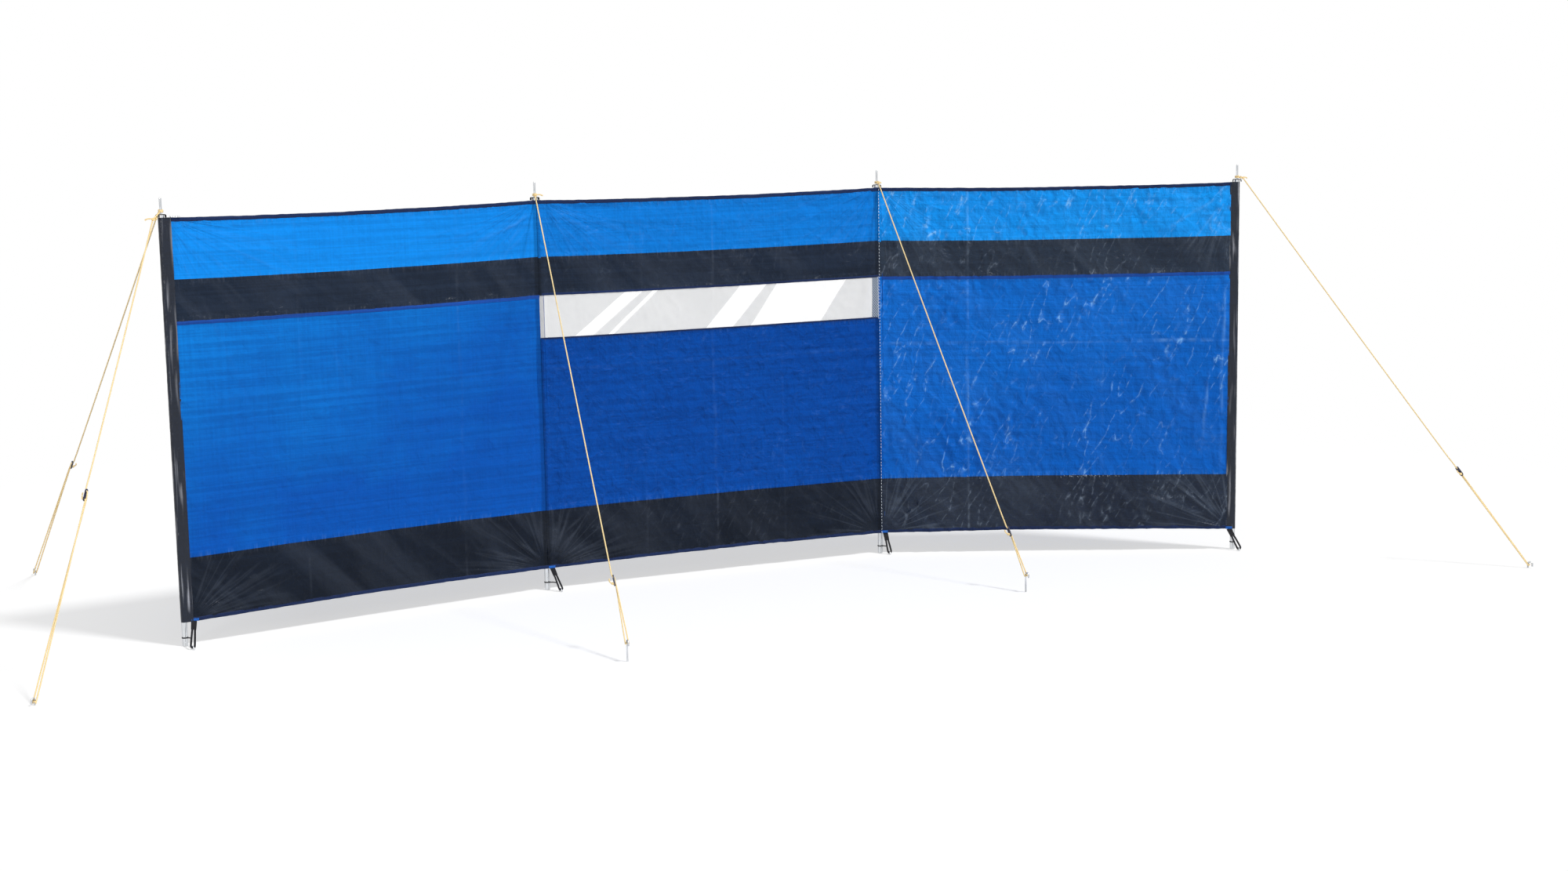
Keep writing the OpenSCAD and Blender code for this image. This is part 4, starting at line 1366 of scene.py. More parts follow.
class WINDBREAK_OT_sleeves(bpy.types.Operator):
    """Builds the sleeves of the end poles and the pockets behind the middle poles"""

    bl_idname = "windbreak.sleeves"
    bl_label = "Build sleeves"

    def end_sleeve(self, pole, cloth):
        """A closed tube of cloth drawn to a seam beside its pole, with slanting puckers where it is slack
        and streaks of painted highlight.
        """
        bay = 0 if pole == 0 else 2
        along = ALONG[bay] * (1 if pole == 0 else -1)
        z = np.linspace(FOOT_EDGE, TOP_EDGE, 250)
        walls = []
        for inset in (0.0, SLEEVE_WALL):
            outline, slack = sleeve_outline(
                TUBE_R + SLEEVE_GAP - inset, (cloth.end_reach - TIP_R, PLANE), TIP_R - inset)
            out = outward(outline)
            place = np.arange(len(outline)) / len(outline)
            zz, pp = np.meshgrid(z, place, indexing="ij")
            pucker = noise(zz / 0.055 + 4 * pp, pp * 13 + pole, 71)
            pucker = pucker + 0.4 * noise(zz / 0.016, pp * 17 + pole, 72)
            # Painted highlight: long streaks where the sleeve's colour is made paler.
            sleeve_highlight = (
                np.clip(2.2 * (noise(zz / 0.14 + 4 * pp, pp * 15 + pole, 74) - 0.22), 0, 1)
                * np.clip(1.3 * noise(zz / 0.21, pp * 3 + pole, 77) + 0.5, 0, 1))
            tight = 0.00035 * noise(zz / 0.016 + 3 * pp, pp * 6, 73)
            pinch = np.exp(-np.minimum(zz - FOOT_EDGE, TOP_EDGE - zz) / 0.02)
            push = slack[None] * 0.0034 * pucker * (1 - 0.6 * pinch) + tight
            flat = outline[None] + push[..., None] * out[None]
            points = FEET[pole] + flat[..., :1] * along + flat[..., 1:] * FRONT[bay] + UP * zz[..., None]
            walls.append(points)
        rows, cols = walls[0].shape[:2]
        outer, ci, cj = grid_faces(rows, cols, wrap_cols=True)
        inner = outer[:, ::-1] + rows * cols
        ring = np.arange(cols)
        after = (ring + 1) % cols
        shift, last = rows * cols, (rows - 1) * cols
        foot = np.stack([ring, after, after + shift, ring + shift], axis=1)
        head = np.stack([after, ring, ring + shift, after + shift], axis=1) + last
        step = lengths_round(outline)
        side = np.stack([step[cj], z[ci]], axis=-1)
        rim_steps = step[np.stack([ring, ring + 1, ring + 1, ring], axis=1)]
        rim = np.stack([rim_steps, np.full((cols, 4), FOOT_EDGE)], axis=-1)
        corners = np.concatenate([side, side[:, ::-1], rim, rim])
        tube = Patch(
            np.concatenate([w.reshape(-1, 3) for w in walls]), np.concatenate([outer, inner, foot, head]),
            corners, crest_highlight=np.tile(sleeve_highlight.ravel(), 2))
        clockwise = float(np.cross(along, FRONT[bay])[2]) > 0
        return build(
            f"sleeve_tube_{pole + 1}", tube, finish_of("sleeve"), (f"sleeve_{pole + 1}",),
            flip=clockwise)

    def pocket(self, pole, cloth):
        """A strip sewn to the back of the sheeting on both sides of a middle pole, drawn round behind it."""
        radius = TUBE_R + POCKET_GAP
        sides = []
        for bay, sign in ((pole - 1, -1), (pole, 1)):
            tip = sign * ALONG[bay] * cloth.pocket_reach + FRONT[bay] * (PLANE - 1.3 * cloth.thickness)
            reach, angle = math.hypot(tip[0], tip[1]), math.atan2(tip[1], tip[0])
            touch = angle + sign * math.acos(radius / reach)
            sides.append((tip[:2], touch))
        (left_tip, left_angle), (right_tip, right_angle) = sides
        sweep_angle = (left_angle - right_angle) % (2 * math.pi)
        around = left_angle - np.linspace(0, sweep_angle, 20)
        arc = radius * np.stack([np.cos(around), np.sin(around)], axis=1)
        t = np.linspace(0, 1, 8)[:, None]
        line = np.concatenate(
            [left_tip * (1 - t[:-1]) + arc[0] * t[:-1], arc, arc[-1] * (1 - t[1:]) + right_tip * t[1:]])
        z = np.linspace(FOOT_EDGE, TOP_EDGE, 220)
        ll, zz = np.meshgrid(np.arange(len(line)), z, indexing="ij")
        tangent = unit(np.gradient(line, axis=0))
        out = np.stack([tangent[:, 1], -tangent[:, 0]], axis=1)
        if float(out[len(out) // 2] @ pole_axes(pole)[1][:2]) > 0:
            out = -out
        slack = np.concatenate([np.sin(np.pi * t[:-1, 0]), np.zeros(len(arc)), np.sin(np.pi * t[1:, 0])])
        push = (
            0.0012 * slack[:, None] * noise(zz / 0.028, ll / 7 + pole, 75)
            + 0.0003 * noise(zz / 0.015, ll / 5, 76))
        flat = line[:, None] + push[..., None] * out[:, None]
        middle = np.concatenate([flat, zz[..., None]], axis=-1) + FEET[pole]
        level_out = np.broadcast_to(out[:, None], flat.shape)
        normal = np.concatenate([level_out, np.zeros(flat.shape[:2] + (1,))], axis=-1)
        patch = shell(middle, normal, POCKET_WALL, lengths(line)[:, None], zz)
        flip = not facing(patch.quads, patch.points, normal[0, 0])
        return build(
            f"pocket_{pole + 1}", patch, finish_of("pocket"), (f"sleeve_{pole + 1}",),
            flip=flip)

    def execute(self, context):
        cloth = context.scene.windbreak_cloth
        for pole in range(4):
            if pole in (0, 3):
                piece, width = self.end_sleeve(pole, cloth), SLEEVE_WIDTH
            else:
                piece, width = self.pocket(pole, cloth), POCKET_WIDTH
        return {"FINISHED"}


class WINDBREAK_OT_seams(bpy.types.Operator):
    """Builds the piping, the rims of the window, the stitches and folds at the poles, and loose threads"""

    bl_idname = "windbreak.seams"
    bl_label = "Build seams"

    def level_stitches(self, bay, z, cloth, start, stop, lift, pitch, length, radius):
        """Threads in a level line on the sheeting."""
        at = np.arange(start, stop, pitch)
        at = at + 0.2 * pitch * noise(at / pitch, z * 10, 81)
        points = cloth_point(bay, at, np.full(at.shape, z), cloth, lift)
        return sewn(points, bay, length, radius)

    def upright_stitches(self, bay, s, cloth, low, high, lift, pitch, length, radius, slant=0.0):
        """Threads in an upright line on the sheeting, each leaning by the slant to one side and the
        other in turn."""
        z = np.arange(low, high, pitch)
        points = cloth_point(bay, np.full(z.shape, s), z, cloth, lift)
        lean = slant * np.where(np.arange(len(z)) % 2, 1.0, -1.0)[:, None]
        along = unit(UP + lean * ALONG[bay])
        return stitches(points, along, np.tile(FRONT[bay], (len(z), 1)), length, radius)

    def frays(self, bay, s, z, cloth, length, radius, seed, spread=1.0):
        """Loose ends of tape: short bent threads that leave a seam in scattered directions."""
        rng = np.random.default_rng(seed)
        made = []
        for one, level_z in zip(s, z):
            base = cloth_point(bay, np.array([one]), np.array([level_z]), cloth, 0.002)[0]
            aim = unit(
                FRONT[bay] * rng.uniform(0.1, 0.5) + ALONG[bay] * spread * rng.uniform(-1, 1)
                + UP * rng.uniform(-1, 1))
            curl = unit(np.cross(aim, FRONT[bay]) + 0.2 * UP) * rng.uniform(-0.5, 0.5)
            t = np.linspace(0, 1, 6)[:, None]
            path = base + length * rng.uniform(0.5, 1.1) * (aim * t + curl * t ** 2)
            beside = np.cross(aim, FRONT[bay]) + 0.01 * UP
            made.append(sweep(path, circle(radius, 5), beside, scale=np.linspace(1, 0.5, 6)))
        return joined(made)

    def piping(self, bay, cloth):
        """The piping under the dark band of an end bay, with its stitches."""
        first, last = bay_ends(bay, cloth)
        s = np.linspace(first, last, int((last - first) / TAPE_STEP))
        tape = ribbon_on_cloth(bay, s, BAND_FOOT - 0.0055, 0.013, 0.0018, cloth, 0.0009, 0.3)
        build(f"piping_{bay + 1}", tape, finish_of("piping"))
        seam = self.level_stitches(bay, BAND_FOOT + 0.003, cloth, first, last, **FINE_THREAD)
        build(f"stitches_piping_{bay + 1}", seam, finish_of("dark thread"))

    def window_rims(self, cloth):
        """The bound rims over and under the window, with the stitches under it."""
        first, last = bay_ends(WINDOW_BAY, cloth)
        s = np.linspace(first, last, int((last - first) / TAPE_STEP))
        rims = [
            ribbon_on_cloth(WINDOW_BAY, s, BAND_FOOT + 0.003, 0.009, 0.0016, cloth, 0.0016, 0.3),
            ribbon_on_cloth(WINDOW_BAY, s, WINDOW_FOOT + 0.001, 0.006, 0.0014, cloth, 0.0008, 0.35),
        ]
        build("window_rims", joined(rims), finish_of("navy"))
        seam = self.level_stitches(WINDOW_BAY, WINDOW_FOOT - 0.005, cloth, first, last, **WINDOW_THREAD)
        build("stitches_window", seam, finish_of("dark thread"))

    def pole_stitches(self, cloth):
        """The light stitches on both sides of the third pole."""
        right, left = bay_ends(2, cloth)[0] + 0.004, bay_ends(1, cloth)[1] - 0.003
        low, high = FOOT_EDGE + 0.004, TOP_EDGE - 0.004
        seam = joined([
            self.upright_stitches(2, right, cloth, low, high, **LONG_THREAD),
            self.upright_stitches(1, left, cloth, WINDOW_FOOT, BAND_FOOT, **SHORT_THREAD),
        ])
        build("stitches_pole_3", seam, finish_of("thread"))

    def seam_folds(self, bay, width, cloth):
        """The turned edges of the strips of a bay, at its left pole."""
        start = bay_ends(bay, cloth)[0]
        main_top = WINDOW_FOOT if bay == WINDOW_BAY else BAND_FOOT
        bands = (
            ("main_panel", SKIRT_TOP, main_top, "main", "blue_sheeting"),
            ("upper_strip", BAND_TOP, STRIP_TOP, "upper", "blue_sheeting"),
            ("skirt", HEM_TOP, SKIRT_TOP, "dark", "dark_sheeting"),
            ("dark_band", BAND_FOOT, BAND_TOP, "dark", "dark_sheeting"),
        )
        for kind, low, high, finish, slot in bands:
            tape = strip(bay, low, high, cloth, 2.6 * cloth.thickness, start, start + width)
            build(f"seam_fold_{kind}_{bay + 1}", tape, finish_of(f"{finish} {bay + 1}"))

    def side_stitches(self, cloth):
        """The light stitches beside the first pole."""
        s, high = bay_ends(0, cloth)[0] + 0.0015, SKIRT_TOP - 0.005
        seam = self.upright_stitches(0, s, cloth, FOOT_EDGE + 0.008, high, **SIDE_THREAD)
        build("stitches_pole_1", seam, finish_of("thread"))

    def frayed_ends(self, cloth):
        """The frayed upper left corner, and the white threads along the foot of the right panel."""
        rng = np.random.default_rng(5)
        corner_s = rng.uniform(0.028, 0.060, 30)
        corner_z = rng.uniform(TOP_EDGE - 0.004, TOP_EDGE, 30)
        corner = self.frays(0, corner_s, corner_z, cloth, 0.010, 0.0005, 6)
        build("frayed_corner_1", corner, finish_of("navy"))
        white_s = np.concatenate([rng.normal(0.86, 0.07, 46), rng.uniform(0.3, 1.3, 16)])
        white_s = np.clip(white_s, 0.1, 1.35)
        white_z = SKIRT_TOP + rng.uniform(-0.004, 0.001, 62)
        white = self.frays(2, white_s, white_z, cloth, 0.006, 0.00045, 8, 0.4)
        build("frayed_seam_3", white, finish_of("thread"))

    def execute(self, context):
        cloth = context.scene.windbreak_cloth
        self.piping(0, cloth)
        self.piping(2, cloth)
        self.window_rims(cloth)
        self.pole_stitches(cloth)
        self.seam_folds(2, 0.012, cloth)
        self.seam_folds(1, 0.009, cloth)
        self.side_stitches(cloth)
        self.frayed_ends(cloth)
        return {"FINISHED"}


# Top straps: half their span over a pole, half their width, the radius of
# their bends and of the hole for the spike, and half their thickness.
STRAP_SPAN, STRAP_WIDTH, STRAP_BEND, STRAP_HOLE, STRAP_HALF = 0.0160, 0.0070, 0.004, 0.0049, 0.0009
# How far the middle of a strap's cloth lies under its top.
STRAP_DROP = 0.0010


class WINDBREAK_OT_straps(bpy.types.Operator):
    """Builds the webbing straps over the tops of the poles"""

    bl_idname = "windbreak.straps"
    bl_label = "Build top straps"

    def strap(self, pole):
        """A strap laid flat is a rectangle with a round hole: rings run from the hole out to its
        edges. It is then bent over the pole: level in the middle, round at the corners and upright
        at its ends."""
        along, front = pole_axes(pole)
        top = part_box("top_straps")[1].z - STRAP_DROP
        half_span, half_width, bend = STRAP_SPAN, STRAP_WIDTH, STRAP_BEND
        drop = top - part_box("top_straps")[0].z
        half_length = half_span - bend + bend * math.pi / 2 + drop - bend
        ring = np.linspace(0, 2 * np.pi, 64, endpoint=False)
        c, s = np.cos(ring), np.sin(ring)
        scale = 1 / np.maximum(np.abs(c) / half_length, np.abs(s) / half_width)
        steps = np.linspace(0, 1, 16)[:, None]
        radius = STRAP_HOLE + (scale[None] - STRAP_HOLE) * steps ** 1.2
        x, y = radius * c[None], radius * s[None]
        a = np.abs(x)
        flat = half_span - bend
        turn = np.clip((a - flat) / bend, 0, np.pi / 2)
        beyond = np.clip(a - flat - bend * np.pi / 2, 0, None)
        px = np.where(a < flat, a, flat + bend * np.sin(turn)) * np.sign(x)
        pz = top - np.where(a < flat, 0.0, bend * (1 - np.cos(turn))) - beyond
        nx, nz = np.sin(turn) * np.sign(x), np.cos(turn)
        wave = 0.0003 * noise(x / 0.006 + pole, y / 0.006, 91)
        middle = (
            FEET[pole] + (px + wave * nx)[..., None] * along + y[..., None] * front
            + (pz + wave * nz)[..., None] * UP)
        normal = nx[..., None] * along + nz[..., None] * UP
        half = STRAP_HALF * normal
        rows, cols = x.shape
        count = rows * cols
        outer, _, _ = grid_faces(rows, cols, wrap_cols=True)
        inner = outer[:, ::-1] + count
        ring_i = np.arange(cols)
        after = (ring_i + 1) % cols
        last = (rows - 1) * cols
        hole_rim = np.stack([after, ring_i, ring_i + count, after + count], axis=1)
        edge_rim = np.stack([ring_i, after, after + count, ring_i + count], axis=1) + last
        quads = np.concatenate([outer, inner, hole_rim[:, ::-1], edge_rim[:, ::-1]])
        flat_uv = np.stack([y, x], axis=-1).reshape(-1, 2)
        points = np.concatenate([(middle + half).reshape(-1, 3), (middle - half).reshape(-1, 3)])
        patch = Patch(points, quads, flat_uv[quads % count])
        if not facing(patch.quads, patch.points, UP):
            patch = Patch(points, quads[:, ::-1], patch.corners[:, ::-1])
        return patch

    def execute(self, context):
        straps = joined([self.strap(pole) for pole in range(4)])
        build("webbing_straps", straps, finish_of("webbing"), ("top_straps",))
        return {"FINISHED"}


# Peg loops, from left to right: how far beside its pole each hangs from the
# hem, how far beside it the peg stands, and how far in front of the sheeting.
LOOP_HANG = (0.031, 0.017, 0.018, -0.017)
LOOP_PEG = (0.002, 0.030, 0.029, 0.020)
LOOP_OUT = (0.055, 0.045, 0.025, 0.025)
LOOP_LIFT = 0.0024
TIE_LEVEL = 0.030
# Width of a loop, width of its tape, and length of its tab.
LOOP_WIDTH, LOOP_TAPE, LOOP_TAB = 0.021, 0.0074, 0.034
# The blue tabs on the hem: half their length, the level of their middle over
# the foot of the hem, their height and their thickness.
TAB_HALF, TAB_LEVEL, TAB_HEIGHT, TAB_THICK = 0.013, 0.0045, 0.010, 0.0042


class WINDBREAK_OT_loops(bpy.types.Operator):
    """Builds the webbing loops that are pegged down beside the poles, with their ties and hem tabs"""

    bl_idname = "windbreak.loops"
    bl_label = "Build peg loops"

    def loop(self, pole):
        """One loop: a tab under the hem, a flat tape that runs down, round the peg and up again,
        and a tie round the pole."""
        along, front = pole_axes(pole)
        width, run, tab = LOOP_WIDTH, LOOP_TAPE, LOOP_TAB
        low = width / 2
        cloth_front = PLANE - 0.00075
        end = (
            FEET[pole] + along * LOOP_PEG[pole] + front * (cloth_front + LOOP_OUT[pole])
            + UP * (LOOP_LIFT + low))
        head = FEET[pole] + along * LOOP_HANG[pole] + front * cloth_front + UP * (FOOT_EDGE + 0.002)
        up = unit(head - end)
        foot = end - up * low
        reach = float(np.linalg.norm(head - foot))
        across = unit(along - up * (along @ up))
        out = np.cross(across, up)
        if out @ front < 0:
            out = -out
        half = (width - run) / 2
        t = np.linspace(0, 1, 22)
        climb = low + (reach - tab * 0.6 - low) * t
        spread = half * (1 - 0.42 * t ** 2)
        belly = 0.0022 * np.sin(np.pi * t)
        turn = np.linspace(-np.pi, 0, 15)[1:-1]
        left = np.stack([-spread, climb, belly], axis=1)[::-1]
        bend = np.stack([half * np.cos(turn), low + half * np.sin(turn), np.zeros(len(turn))], axis=1)
        right = np.stack([spread, climb, -0.5 * belly], axis=1)
        local = np.concatenate([left, bend, right])
        path = foot + local[:, :1] * across + local[:, 1:2] * up + local[:, 2:] * out
        twist = 0.22 * np.sin(np.linspace(0, 3 * np.pi, len(path))) * np.sin(np.linspace(0, np.pi, len(path)))
        runs = sweep(path, flat_profile(run, 0.0018, 14), out, turn=twist)
        v = np.linspace(0, 1, 9)
        lift = foot + up * (reach - tab + v * tab)[:, None] + out * (0.0006 * np.sin(np.pi * v))[:, None]
        top = sweep(lift, flat_profile(width, 0.0021, 18, 0.25), out, scale=0.9 + 0.1 * v)
        ring_angle = np.linspace(0, 2 * np.pi, 33)
        radius = TUBE_R + 0.0012
        round_pole = np.cos(ring_angle)[:, None] * along + np.sin(ring_angle)[:, None] * front
        ring = FEET[pole] + radius * round_pole + UP * TIE_LEVEL
        tape = flat_profile(0.0042, 0.0014, 10)
        tie = sweep(ring, tape, UP, turn=np.pi / 2)
        side = np.sign(LOOP_PEG[pole] + LOOP_HANG[pole])
        near = foot + up * (TIE_LEVEL / max(up[2], 0.2)) - across * half * side
        start = FEET[pole] + unit(near - FEET[pole] - UP * near[2]) * (radius + 0.0005) + UP * TIE_LEVEL
        link_path = smooth([start, (start + near) / 2 + UP * 0.001, near], 6)
        link = sweep(link_path, tape, UP, turn=np.pi / 2)
        return joined([runs, top, tie, link])

    def hem_tab(self, pole, cloth):
        """A short blue patch folded over the hem above a loop."""
        bay = min(pole, 2)
        s0 = (SPAN if pole == 3 else 0.0) + LOOP_HANG[pole]
        s0 = float(np.clip(s0, cloth.end_reach + 0.006 if pole == 0 else 0.014, SPAN - 0.008))
        s = np.linspace(s0 - TAB_HALF, s0 + TAB_HALF, 12)
        return ribbon_on_cloth(bay, s, FOOT_EDGE + TAB_LEVEL, TAB_HEIGHT, TAB_THICK, cloth, 0.0006, 0.2)

    def execute(self, context):
        cloth = context.scene.windbreak_cloth
        for pole in range(4):
            build(
                f"webbing_loop_{pole + 1}", self.loop(pole), finish_of("webbing"),
                (f"peg_loop_{pole + 1}",))
        tabs = joined([self.hem_tab(pole, cloth) for pole in range(4)])
        build("hem_tabs", tabs, finish_of("tab"))
        return {"FINISHED"}


# Guy lines: pole, direction in degrees, distance of the peg, height of the
# peg, how far out and down the upper knot hangs, step of its ring up the
# spike, distance of the runner from the peg along the line, and the side and
# the share of the length of its tail.
GUYS = (
    (0, 102, 1.545, 0.026, 0.040, 0.020, 1, 0.690, -1, 1.0),
    (0, -135, 0.805, 0.026, 0.045, 0.022, 0, 0.660, -1, 1.0),
    (1, -96, 1.195, 0.076, 0.013, 0.000, 0, 0.215, 1, 1.0),
    (2, -81, 0.925, 0.076, 0.013, 0.000, 0, 0.160, 1, 0.4),
    (3, -48, 1.150, 0.026, 0.024, 0.003, 0, 0.420, 1, 1.0),
)
RING_STEP = 0.0039
CORD_GAP = 0.0003
RING_LEVEL = TUBE_TOP + 0.0093
RING_R = 0.0066
PEG_R = 0.003
HOOK_R = 0.008
RUNNER = (0.042, 0.013, 0.003)


class WINDBREAK_OT_guys(bpy.types.Operator):
    """Builds the guy lines: the loop on the spike, its knot, the line through its runner, and the
    turn round the peg"""

    bl_idname = "windbreak.guys"
    bl_label = "Build guy lines"

    def knot(self, centre, axis, size, radius):
        """A tight overhand knot, as a closed trefoil:
        the curve (sin t + 2 sin 2t, cos t - 2 cos 2t, -sin 3t)."""
        t = np.linspace(0, 2 * np.pi, 61)
        a = unit(np.cross(axis, UP + 0.1 * ALONG[1]))
        b = np.cross(axis, a)
        x = np.sin(t) + 2 * np.sin(2 * t)
        y = np.cos(t) - 2 * np.cos(2 * t)
        path = centre + size * (x[:, None] * a + 0.8 * y[:, None] * b - 1.35 * np.sin(3 * t)[:, None] * axis)
        return sweep(path, circle(radius, 8), axis + 0.02 * a)

    def line(self, hold, knot_at, heading, runner_at, cords):
        """The cord from the upper knot through the runner, round the peg and back to the runner,
        with its stop knot and loose end."""
        r = cords.radius
        total = float(np.linalg.norm(knot_at - hold))
        z = (knot_at - hold) / total
        y = unit(np.cross(UP, -heading))
        x = np.cross(y, z)
        strand_r = PEG_R + CORD_GAP + r
        front_y = strand_r * (1 - runner_at / total)
        length, width, thick = RUNNER
        face = front_y - r - CORD_GAP
        back = face - thick - r - CORD_GAP
        high = runner_at + length - width / 2
        low = runner_at + width / 2

        def at(points):
            """Places across the line, to its side, and along it from the peg."""
            p = np.asarray(points, float)
            return hold + p[:, :1] * x + p[:, 1:2] * y + p[:, 2:] * z

        spans = np.linspace(0, 1, 9)[1:-1]
        down = at([
            (0, front_y * 0.2, total - 0.006),
            (0, front_y * 0.35, total * 0.75 + high * 0.25),
            (0, front_y * 0.6, total * 0.45 + high * 0.55),
            (0, front_y * 0.85, high + 0.12),
            (0, front_y, high + 0.03),
            (0, front_y, high + 0.009),
            (0, face + 0.0008, high + 0.0025),
            (0, face - thick * 0.5, high - 0.0002),
            (0, back + 0.0006, high - 0.0035),
            (0.0012, back, high - 0.010),
            (0.003, back, low + 0.006),
            (0.0034, back, low - 0.006),
        ])
        share = np.linspace(0.02, 0.98, 5)
        down[:5] = down[:5] - UP * (cords.sag * 4 * share * (1 - share))[:, None]
        to_peg = at([
            (0.0030 * (1 - t), back * (1 - t) + strand_r * t, (low - 0.008) * (1 - t) + 0.010 * t)
            for t in spans
        ])
        far = np.linspace(-np.pi / 2, np.pi / 2, 9)
        turn = hold + heading * (strand_r * np.cos(far))[:, None] + y * (strand_r * np.sin(-far))[:, None]
        from_peg = at([
            (-0.0004 * t, -strand_r * (1 - t) + back * t, 0.010 * (1 - t) + (low - 0.016) * t)
            for t in spans
        ])
        through = at([
            (-0.0006, back, low - 0.006),
            (-0.0002, back + 0.0012, low - 0.001),
            (0, face - thick * 0.5, low + 0.0005),
            (0, face + 0.0012, low + 0.002),
            (0, face + 0.0035, low + 0.003),
        ])
        path = smooth(np.concatenate([down, to_peg, turn, from_peg, through]), 6)
        stop = at([(0, face + 0.0055, low + 0.0035)])[0]
        loose = at([
            (0, face + 0.007, low + 0.004),
            (0.001, face + 0.011, low + 0.008),
            (0.003, face + 0.014, low + 0.016),
            (0.002, face + 0.013, low + 0.024),
        ])
        return [
            sweep(path, circle(r), y + 0.31 * heading + 0.2 * UP),
            self.knot(stop, y, 0.82 * cords.knot, 0.9 * r),
            sweep(smooth(loose, 5), circle(0.95 * r, 8), heading + 0.3 * y),
        ]

    def ring(self, ring_at, knot_at, heading, level_side, r, raised):
        """The loop round the spike, whose two ends run to the knot, and a second turn on top of it."""
        made = []
        for sign in (1, -1):
            a = np.linspace(0, np.pi * 0.97, 16)
            half = (
                ring_at + (RING_R * np.cos(np.pi - a))[:, None] * heading
                + sign * (RING_R * np.sin(a))[:, None] * level_side)
            half = half + UP * (sign * 0.0009)
            lead = knot_at + sign * 0.0012 * level_side
            steps = np.linspace(0, 1, 6)[1:, None]
            lead_path = half[-1] * (1 - steps) + lead * steps
            made.append(sweep(np.concatenate([half, lead_path]), circle(r), UP + 0.2 * heading))
        wrap = np.linspace(0.2, 2 * np.pi + 0.9, 34)
        climb = np.linspace(0.0022, 0.0052, 34) * (0.7 if raised else 1.0)
        second = (
            ring_at + RING_R * (np.cos(wrap)[:, None] * heading + np.sin(wrap)[:, None] * level_side)
            + UP * climb[:, None])
        made.append(sweep(second, circle(0.95 * r), UP + 0.01 * heading))
        return made

    def guy(self, index, cords):
        """All the cord of one guy line."""
        pole, azimuth, reach, stand, knot_out, knot_drop, step, runner_at, side, tail_share = GUYS[index]
        r = cords.radius
        heading = np.array([math.cos(math.radians(azimuth)), math.sin(math.radians(azimuth)), 0.0])
        level_side = np.cross(UP, heading)
        ring_at = FEET[pole] + UP * (RING_LEVEL + step * RING_STEP)
        knot_at = ring_at + heading * knot_out - UP * knot_drop
        hold = FEET[pole] + heading * reach + UP * (stand - PEG_R - HOOK_R - r)
        z = (knot_at - hold) / float(np.linalg.norm(knot_at - hold))
        made = self.line(hold, knot_at, heading, runner_at, cords)
        made.append(self.knot(knot_at, z, cords.knot, r))
        inward = 1 if knot_out > 0.02 else 0.3
        second_at = knot_at - heading * 0.35 * knot_out * inward + UP * 0.002
        made.append(self.knot(second_at, unit(heading + 0.3 * UP), 0.8 * cords.knot, r))
        made += self.ring(ring_at, knot_at, heading, level_side, r, step)
        t = np.linspace(0, 1, 9)[:, None]
        droop = 0.002 * t ** 2 - 0.003 * np.sin(np.pi * t)
        tail = knot_at + tail_share * cords.tail * t * unit(level_side * side + 0.35 * heading) - UP * droop
        made.append(sweep(tail, circle(0.95 * r), UP + 0.1 * heading, scale=np.linspace(1, 1.1, 9)))
        return joined(made)

    def execute(self, context):
        cords = context.scene.windbreak_cords
        for index in range(len(GUYS)):
            build(
                f"guy_cord_{index + 1}", self.guy(index, cords), finish_of("cord"),
                (f"guy_{index + 1}",))
        return {"FINISHED"}


class WINDBREAK_OT_hardware(bpy.types.Operator):
    """Gives the poles, spikes, pegs and runners of the frame their finishes"""

    bl_idname = "windbreak.hardware"
    bl_label = "Finish hardware"

    def execute(self, context):
        finishes = {"foot_pegs": "rod", "guy_pegs": "rod", "runners": "plastic"}
        for i in (1, 2, 3, 4):
            finishes[f"pole_{i}"] = "tube"
            finishes[f"spike_{i}"] = "rod"
        for node, finish in finishes.items():
            mesh = frame["nodes"][node].data
            mesh.materials.clear()
            mesh.materials.append(finish_of(finish))
        return {"FINISHED"}


FLOOR_R = 60.0
FLOOR_SIDES = 96
# How far the floor lies under the ground, so that nothing shares its face.
FLOOR_DROP = 0.0006


def seen_rays(tree):
    """1 for rays that come from the camera, straight, by gloss or through film, and 0 for the rest."""
    path = tree.nodes.new("ShaderNodeLightPath").outputs
    straight = maths(tree, "MAXIMUM", path["Is Camera Ray"], path["Is Glossy Ray"])
    return maths(tree, "MAXIMUM", straight, path["Is Transmission Ray"])


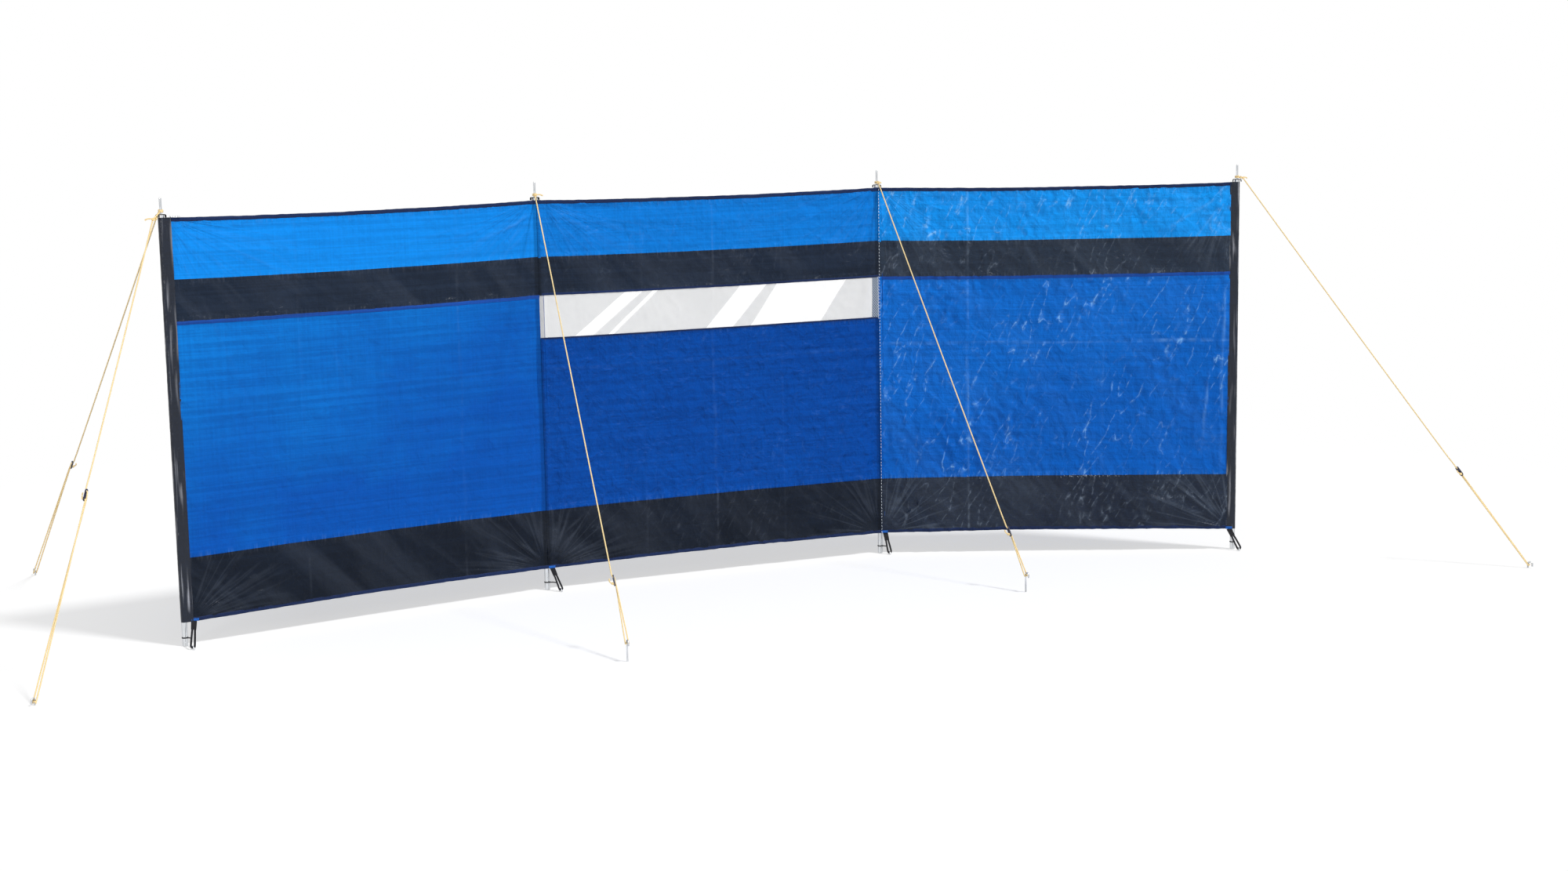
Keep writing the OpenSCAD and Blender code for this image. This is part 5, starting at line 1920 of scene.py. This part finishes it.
class WINDBREAK_OT_stage(bpy.types.Operator):
    """Sets up the floor, the world, the lamps and the camera"""

    bl_idname = "windbreak.stage"
    bl_label = "Set the stage"

    def floor(self):
        """A wide pale disc under the windbreak that turns into the plain background towards its rim."""
        centre = FEET.mean(axis=0)
        angle = np.linspace(0, 2 * np.pi, FLOOR_SIDES, endpoint=False)
        round_floor = np.stack([np.cos(angle), np.sin(angle), np.zeros(FLOOR_SIDES)], axis=1)
        rim = centre + FLOOR_R * round_floor - UP * FLOOR_DROP
        mesh = bpy.data.meshes.new("floor")
        mesh.from_pydata([tuple(p) for p in rim], [], [tuple(range(FLOOR_SIDES))])
        material, tree, shader = new_material("floor", Roughness=0.9, Specular_IOR_Level=0.0)
        shader.inputs["Base Color"].default_value = (0.96, 0.96, 0.96, 1.0)
        place = tree.nodes.new("ShaderNodeTexCoord").outputs["Object"]
        away = add(tree, "VectorMath", {"operation": "DISTANCE"}, i0=place, i1=tuple(centre)).outputs["Value"]
        fade = ranged(tree, away, 1.6, 4.6, 0.5, 1.0)
        seen = seen_rays(tree)
        white = add(tree, "Emission", Color=(1, 1, 1, 1), Strength=1.0).outputs[0]
        share = maths(tree, "MULTIPLY", fade, seen)
        mix = add(tree, "MixShader", i0=share, i1=shader.outputs[0], i2=white).outputs[0]
        tree.links.new(mix, tree.nodes["Material Output"].inputs["Surface"])
        mesh.materials.append(material)
        floor = placed("floor", mesh)

    def world(self, stage):
        """White where it is seen directly, in gloss or through film, and a softer light for the rest."""
        world = bpy.data.worlds.new("studio")
        bpy.context.scene.world = world
        world.use_nodes = True
        tree = world.node_tree
        seen = seen_rays(tree)
        strength = ranged(tree, seen, 0.0, 1.0, stage.fill, 1.0)
        back = tree.nodes["Background"]
        back.inputs["Color"].default_value = (1, 1, 1, 1)
        tree.links.new(strength, back.inputs["Strength"])

    def lamp(self, name, at, aim, size, power):
        """A rectangular area lamp of the given sizes that points from its place to its aim."""
        light = bpy.data.lights.new(name, "AREA")
        light.shape = "RECTANGLE"
        light.size, light.size_y = size
        light.energy = power
        lamp = placed(name, light)
        lamp.location = at
        lamp.rotation_euler = (Vector(aim) - Vector(at)).to_track_quat("-Z", "Y").to_euler()

    def sun(self, name, towards, angle, strength):
        """An even light from far away, soft by its angle."""
        light = bpy.data.lights.new(name, "SUN")
        light.energy = strength
        light.angle = angle
        lamp = placed(name, light)
        lamp.location = 6 * Vector(towards)
        lamp.rotation_euler = (-Vector(towards)).to_track_quat("-Z", "Y").to_euler()

    def camera(self, stage):
        """The camera from its heading, tilt and roll."""
        data = bpy.data.cameras.new("camera")
        data.lens = stage.lens
        data.sensor_width = 36.0
        data.sensor_fit = "HORIZONTAL"
        camera = placed("camera", data)
        yaw, pitch, roll = -stage.heading, -stage.tilt, stage.roll
        ahead = np.array([-math.sin(yaw) * math.cos(pitch), math.cos(yaw) * math.cos(pitch), math.sin(pitch)])
        right = np.array([math.cos(yaw), math.sin(yaw), 0.0])
        up = np.cross(right, ahead)
        x = right * math.cos(roll) + up * math.sin(roll)
        y = -right * math.sin(roll) + up * math.cos(roll)
        axes = Matrix(np.stack([x, y, -ahead], axis=1).tolist()).to_4x4()
        axes.translation = tuple(stage.camera_at)
        camera.matrix_world = axes
        data.clip_end = 200.0
        bpy.context.scene.camera = camera

    def execute(self, context):
        stage = context.scene.windbreak_stage
        context.scene.view_settings.view_transform = "Standard"
        self.floor()
        self.world(stage)
        self.sun("key", (0.40, -0.52, 0.95), math.radians(7), stage.key)
        self.lamp("side", (-5.2, -5.6, 2.6), (0.8, -0.2, 0.8), (0.9, 1.8), stage.side)
        self.camera(stage)
        return {"FINISHED"}


class WINDBREAK_PT_panel(bpy.types.Panel):
    """Lists the steps and settings of the windbreak"""

    bl_idname = "WINDBREAK_PT_panel"
    bl_label = "Windbreak"
    bl_space_type = "VIEW_3D"
    bl_region_type = "UI"
    bl_category = "Windbreak"

    def draw(self, context):
        for operator in OPERATORS:
            self.layout.operator(operator.bl_idname)
        for group in ("windbreak_cloth", "windbreak_colours", "windbreak_cords", "windbreak_stage"):
            box = self.layout.box()
            settings = getattr(context.scene, group)
            for key in settings.__annotations__:
                box.prop(settings, key)


SETTINGS = {
    "windbreak_cloth": WindbreakCloth,
    "windbreak_colours": WindbreakColours,
    "windbreak_cords": WindbreakCords,
    "windbreak_stage": WindbreakStage,
}
OPERATORS = (
    WINDBREAK_OT_sheets,
    WINDBREAK_OT_window,
    WINDBREAK_OT_hems,
    WINDBREAK_OT_sleeves,
    WINDBREAK_OT_seams,
    WINDBREAK_OT_straps,
    WINDBREAK_OT_loops,
    WINDBREAK_OT_guys,
    WINDBREAK_OT_hardware,
    WINDBREAK_OT_stage,
)


def register():
    for cls in (*SETTINGS.values(), *OPERATORS, WINDBREAK_PT_panel):
        bpy.utils.register_class(cls)
    for name, cls in SETTINGS.items():
        setattr(bpy.types.Scene, name, bpy.props.PointerProperty(type=cls))


def unregister():
    for name in SETTINGS:
        delattr(bpy.types.Scene, name)
    for cls in (WINDBREAK_PT_panel, *reversed(OPERATORS), *SETTINGS.values()):
        bpy.utils.unregister_class(cls)


def main():
    register()
    for operator in OPERATORS:
        group, name = operator.bl_idname.split(".")
        getattr(getattr(bpy.ops, group), name)()


if __name__ == "__main__":
    main()
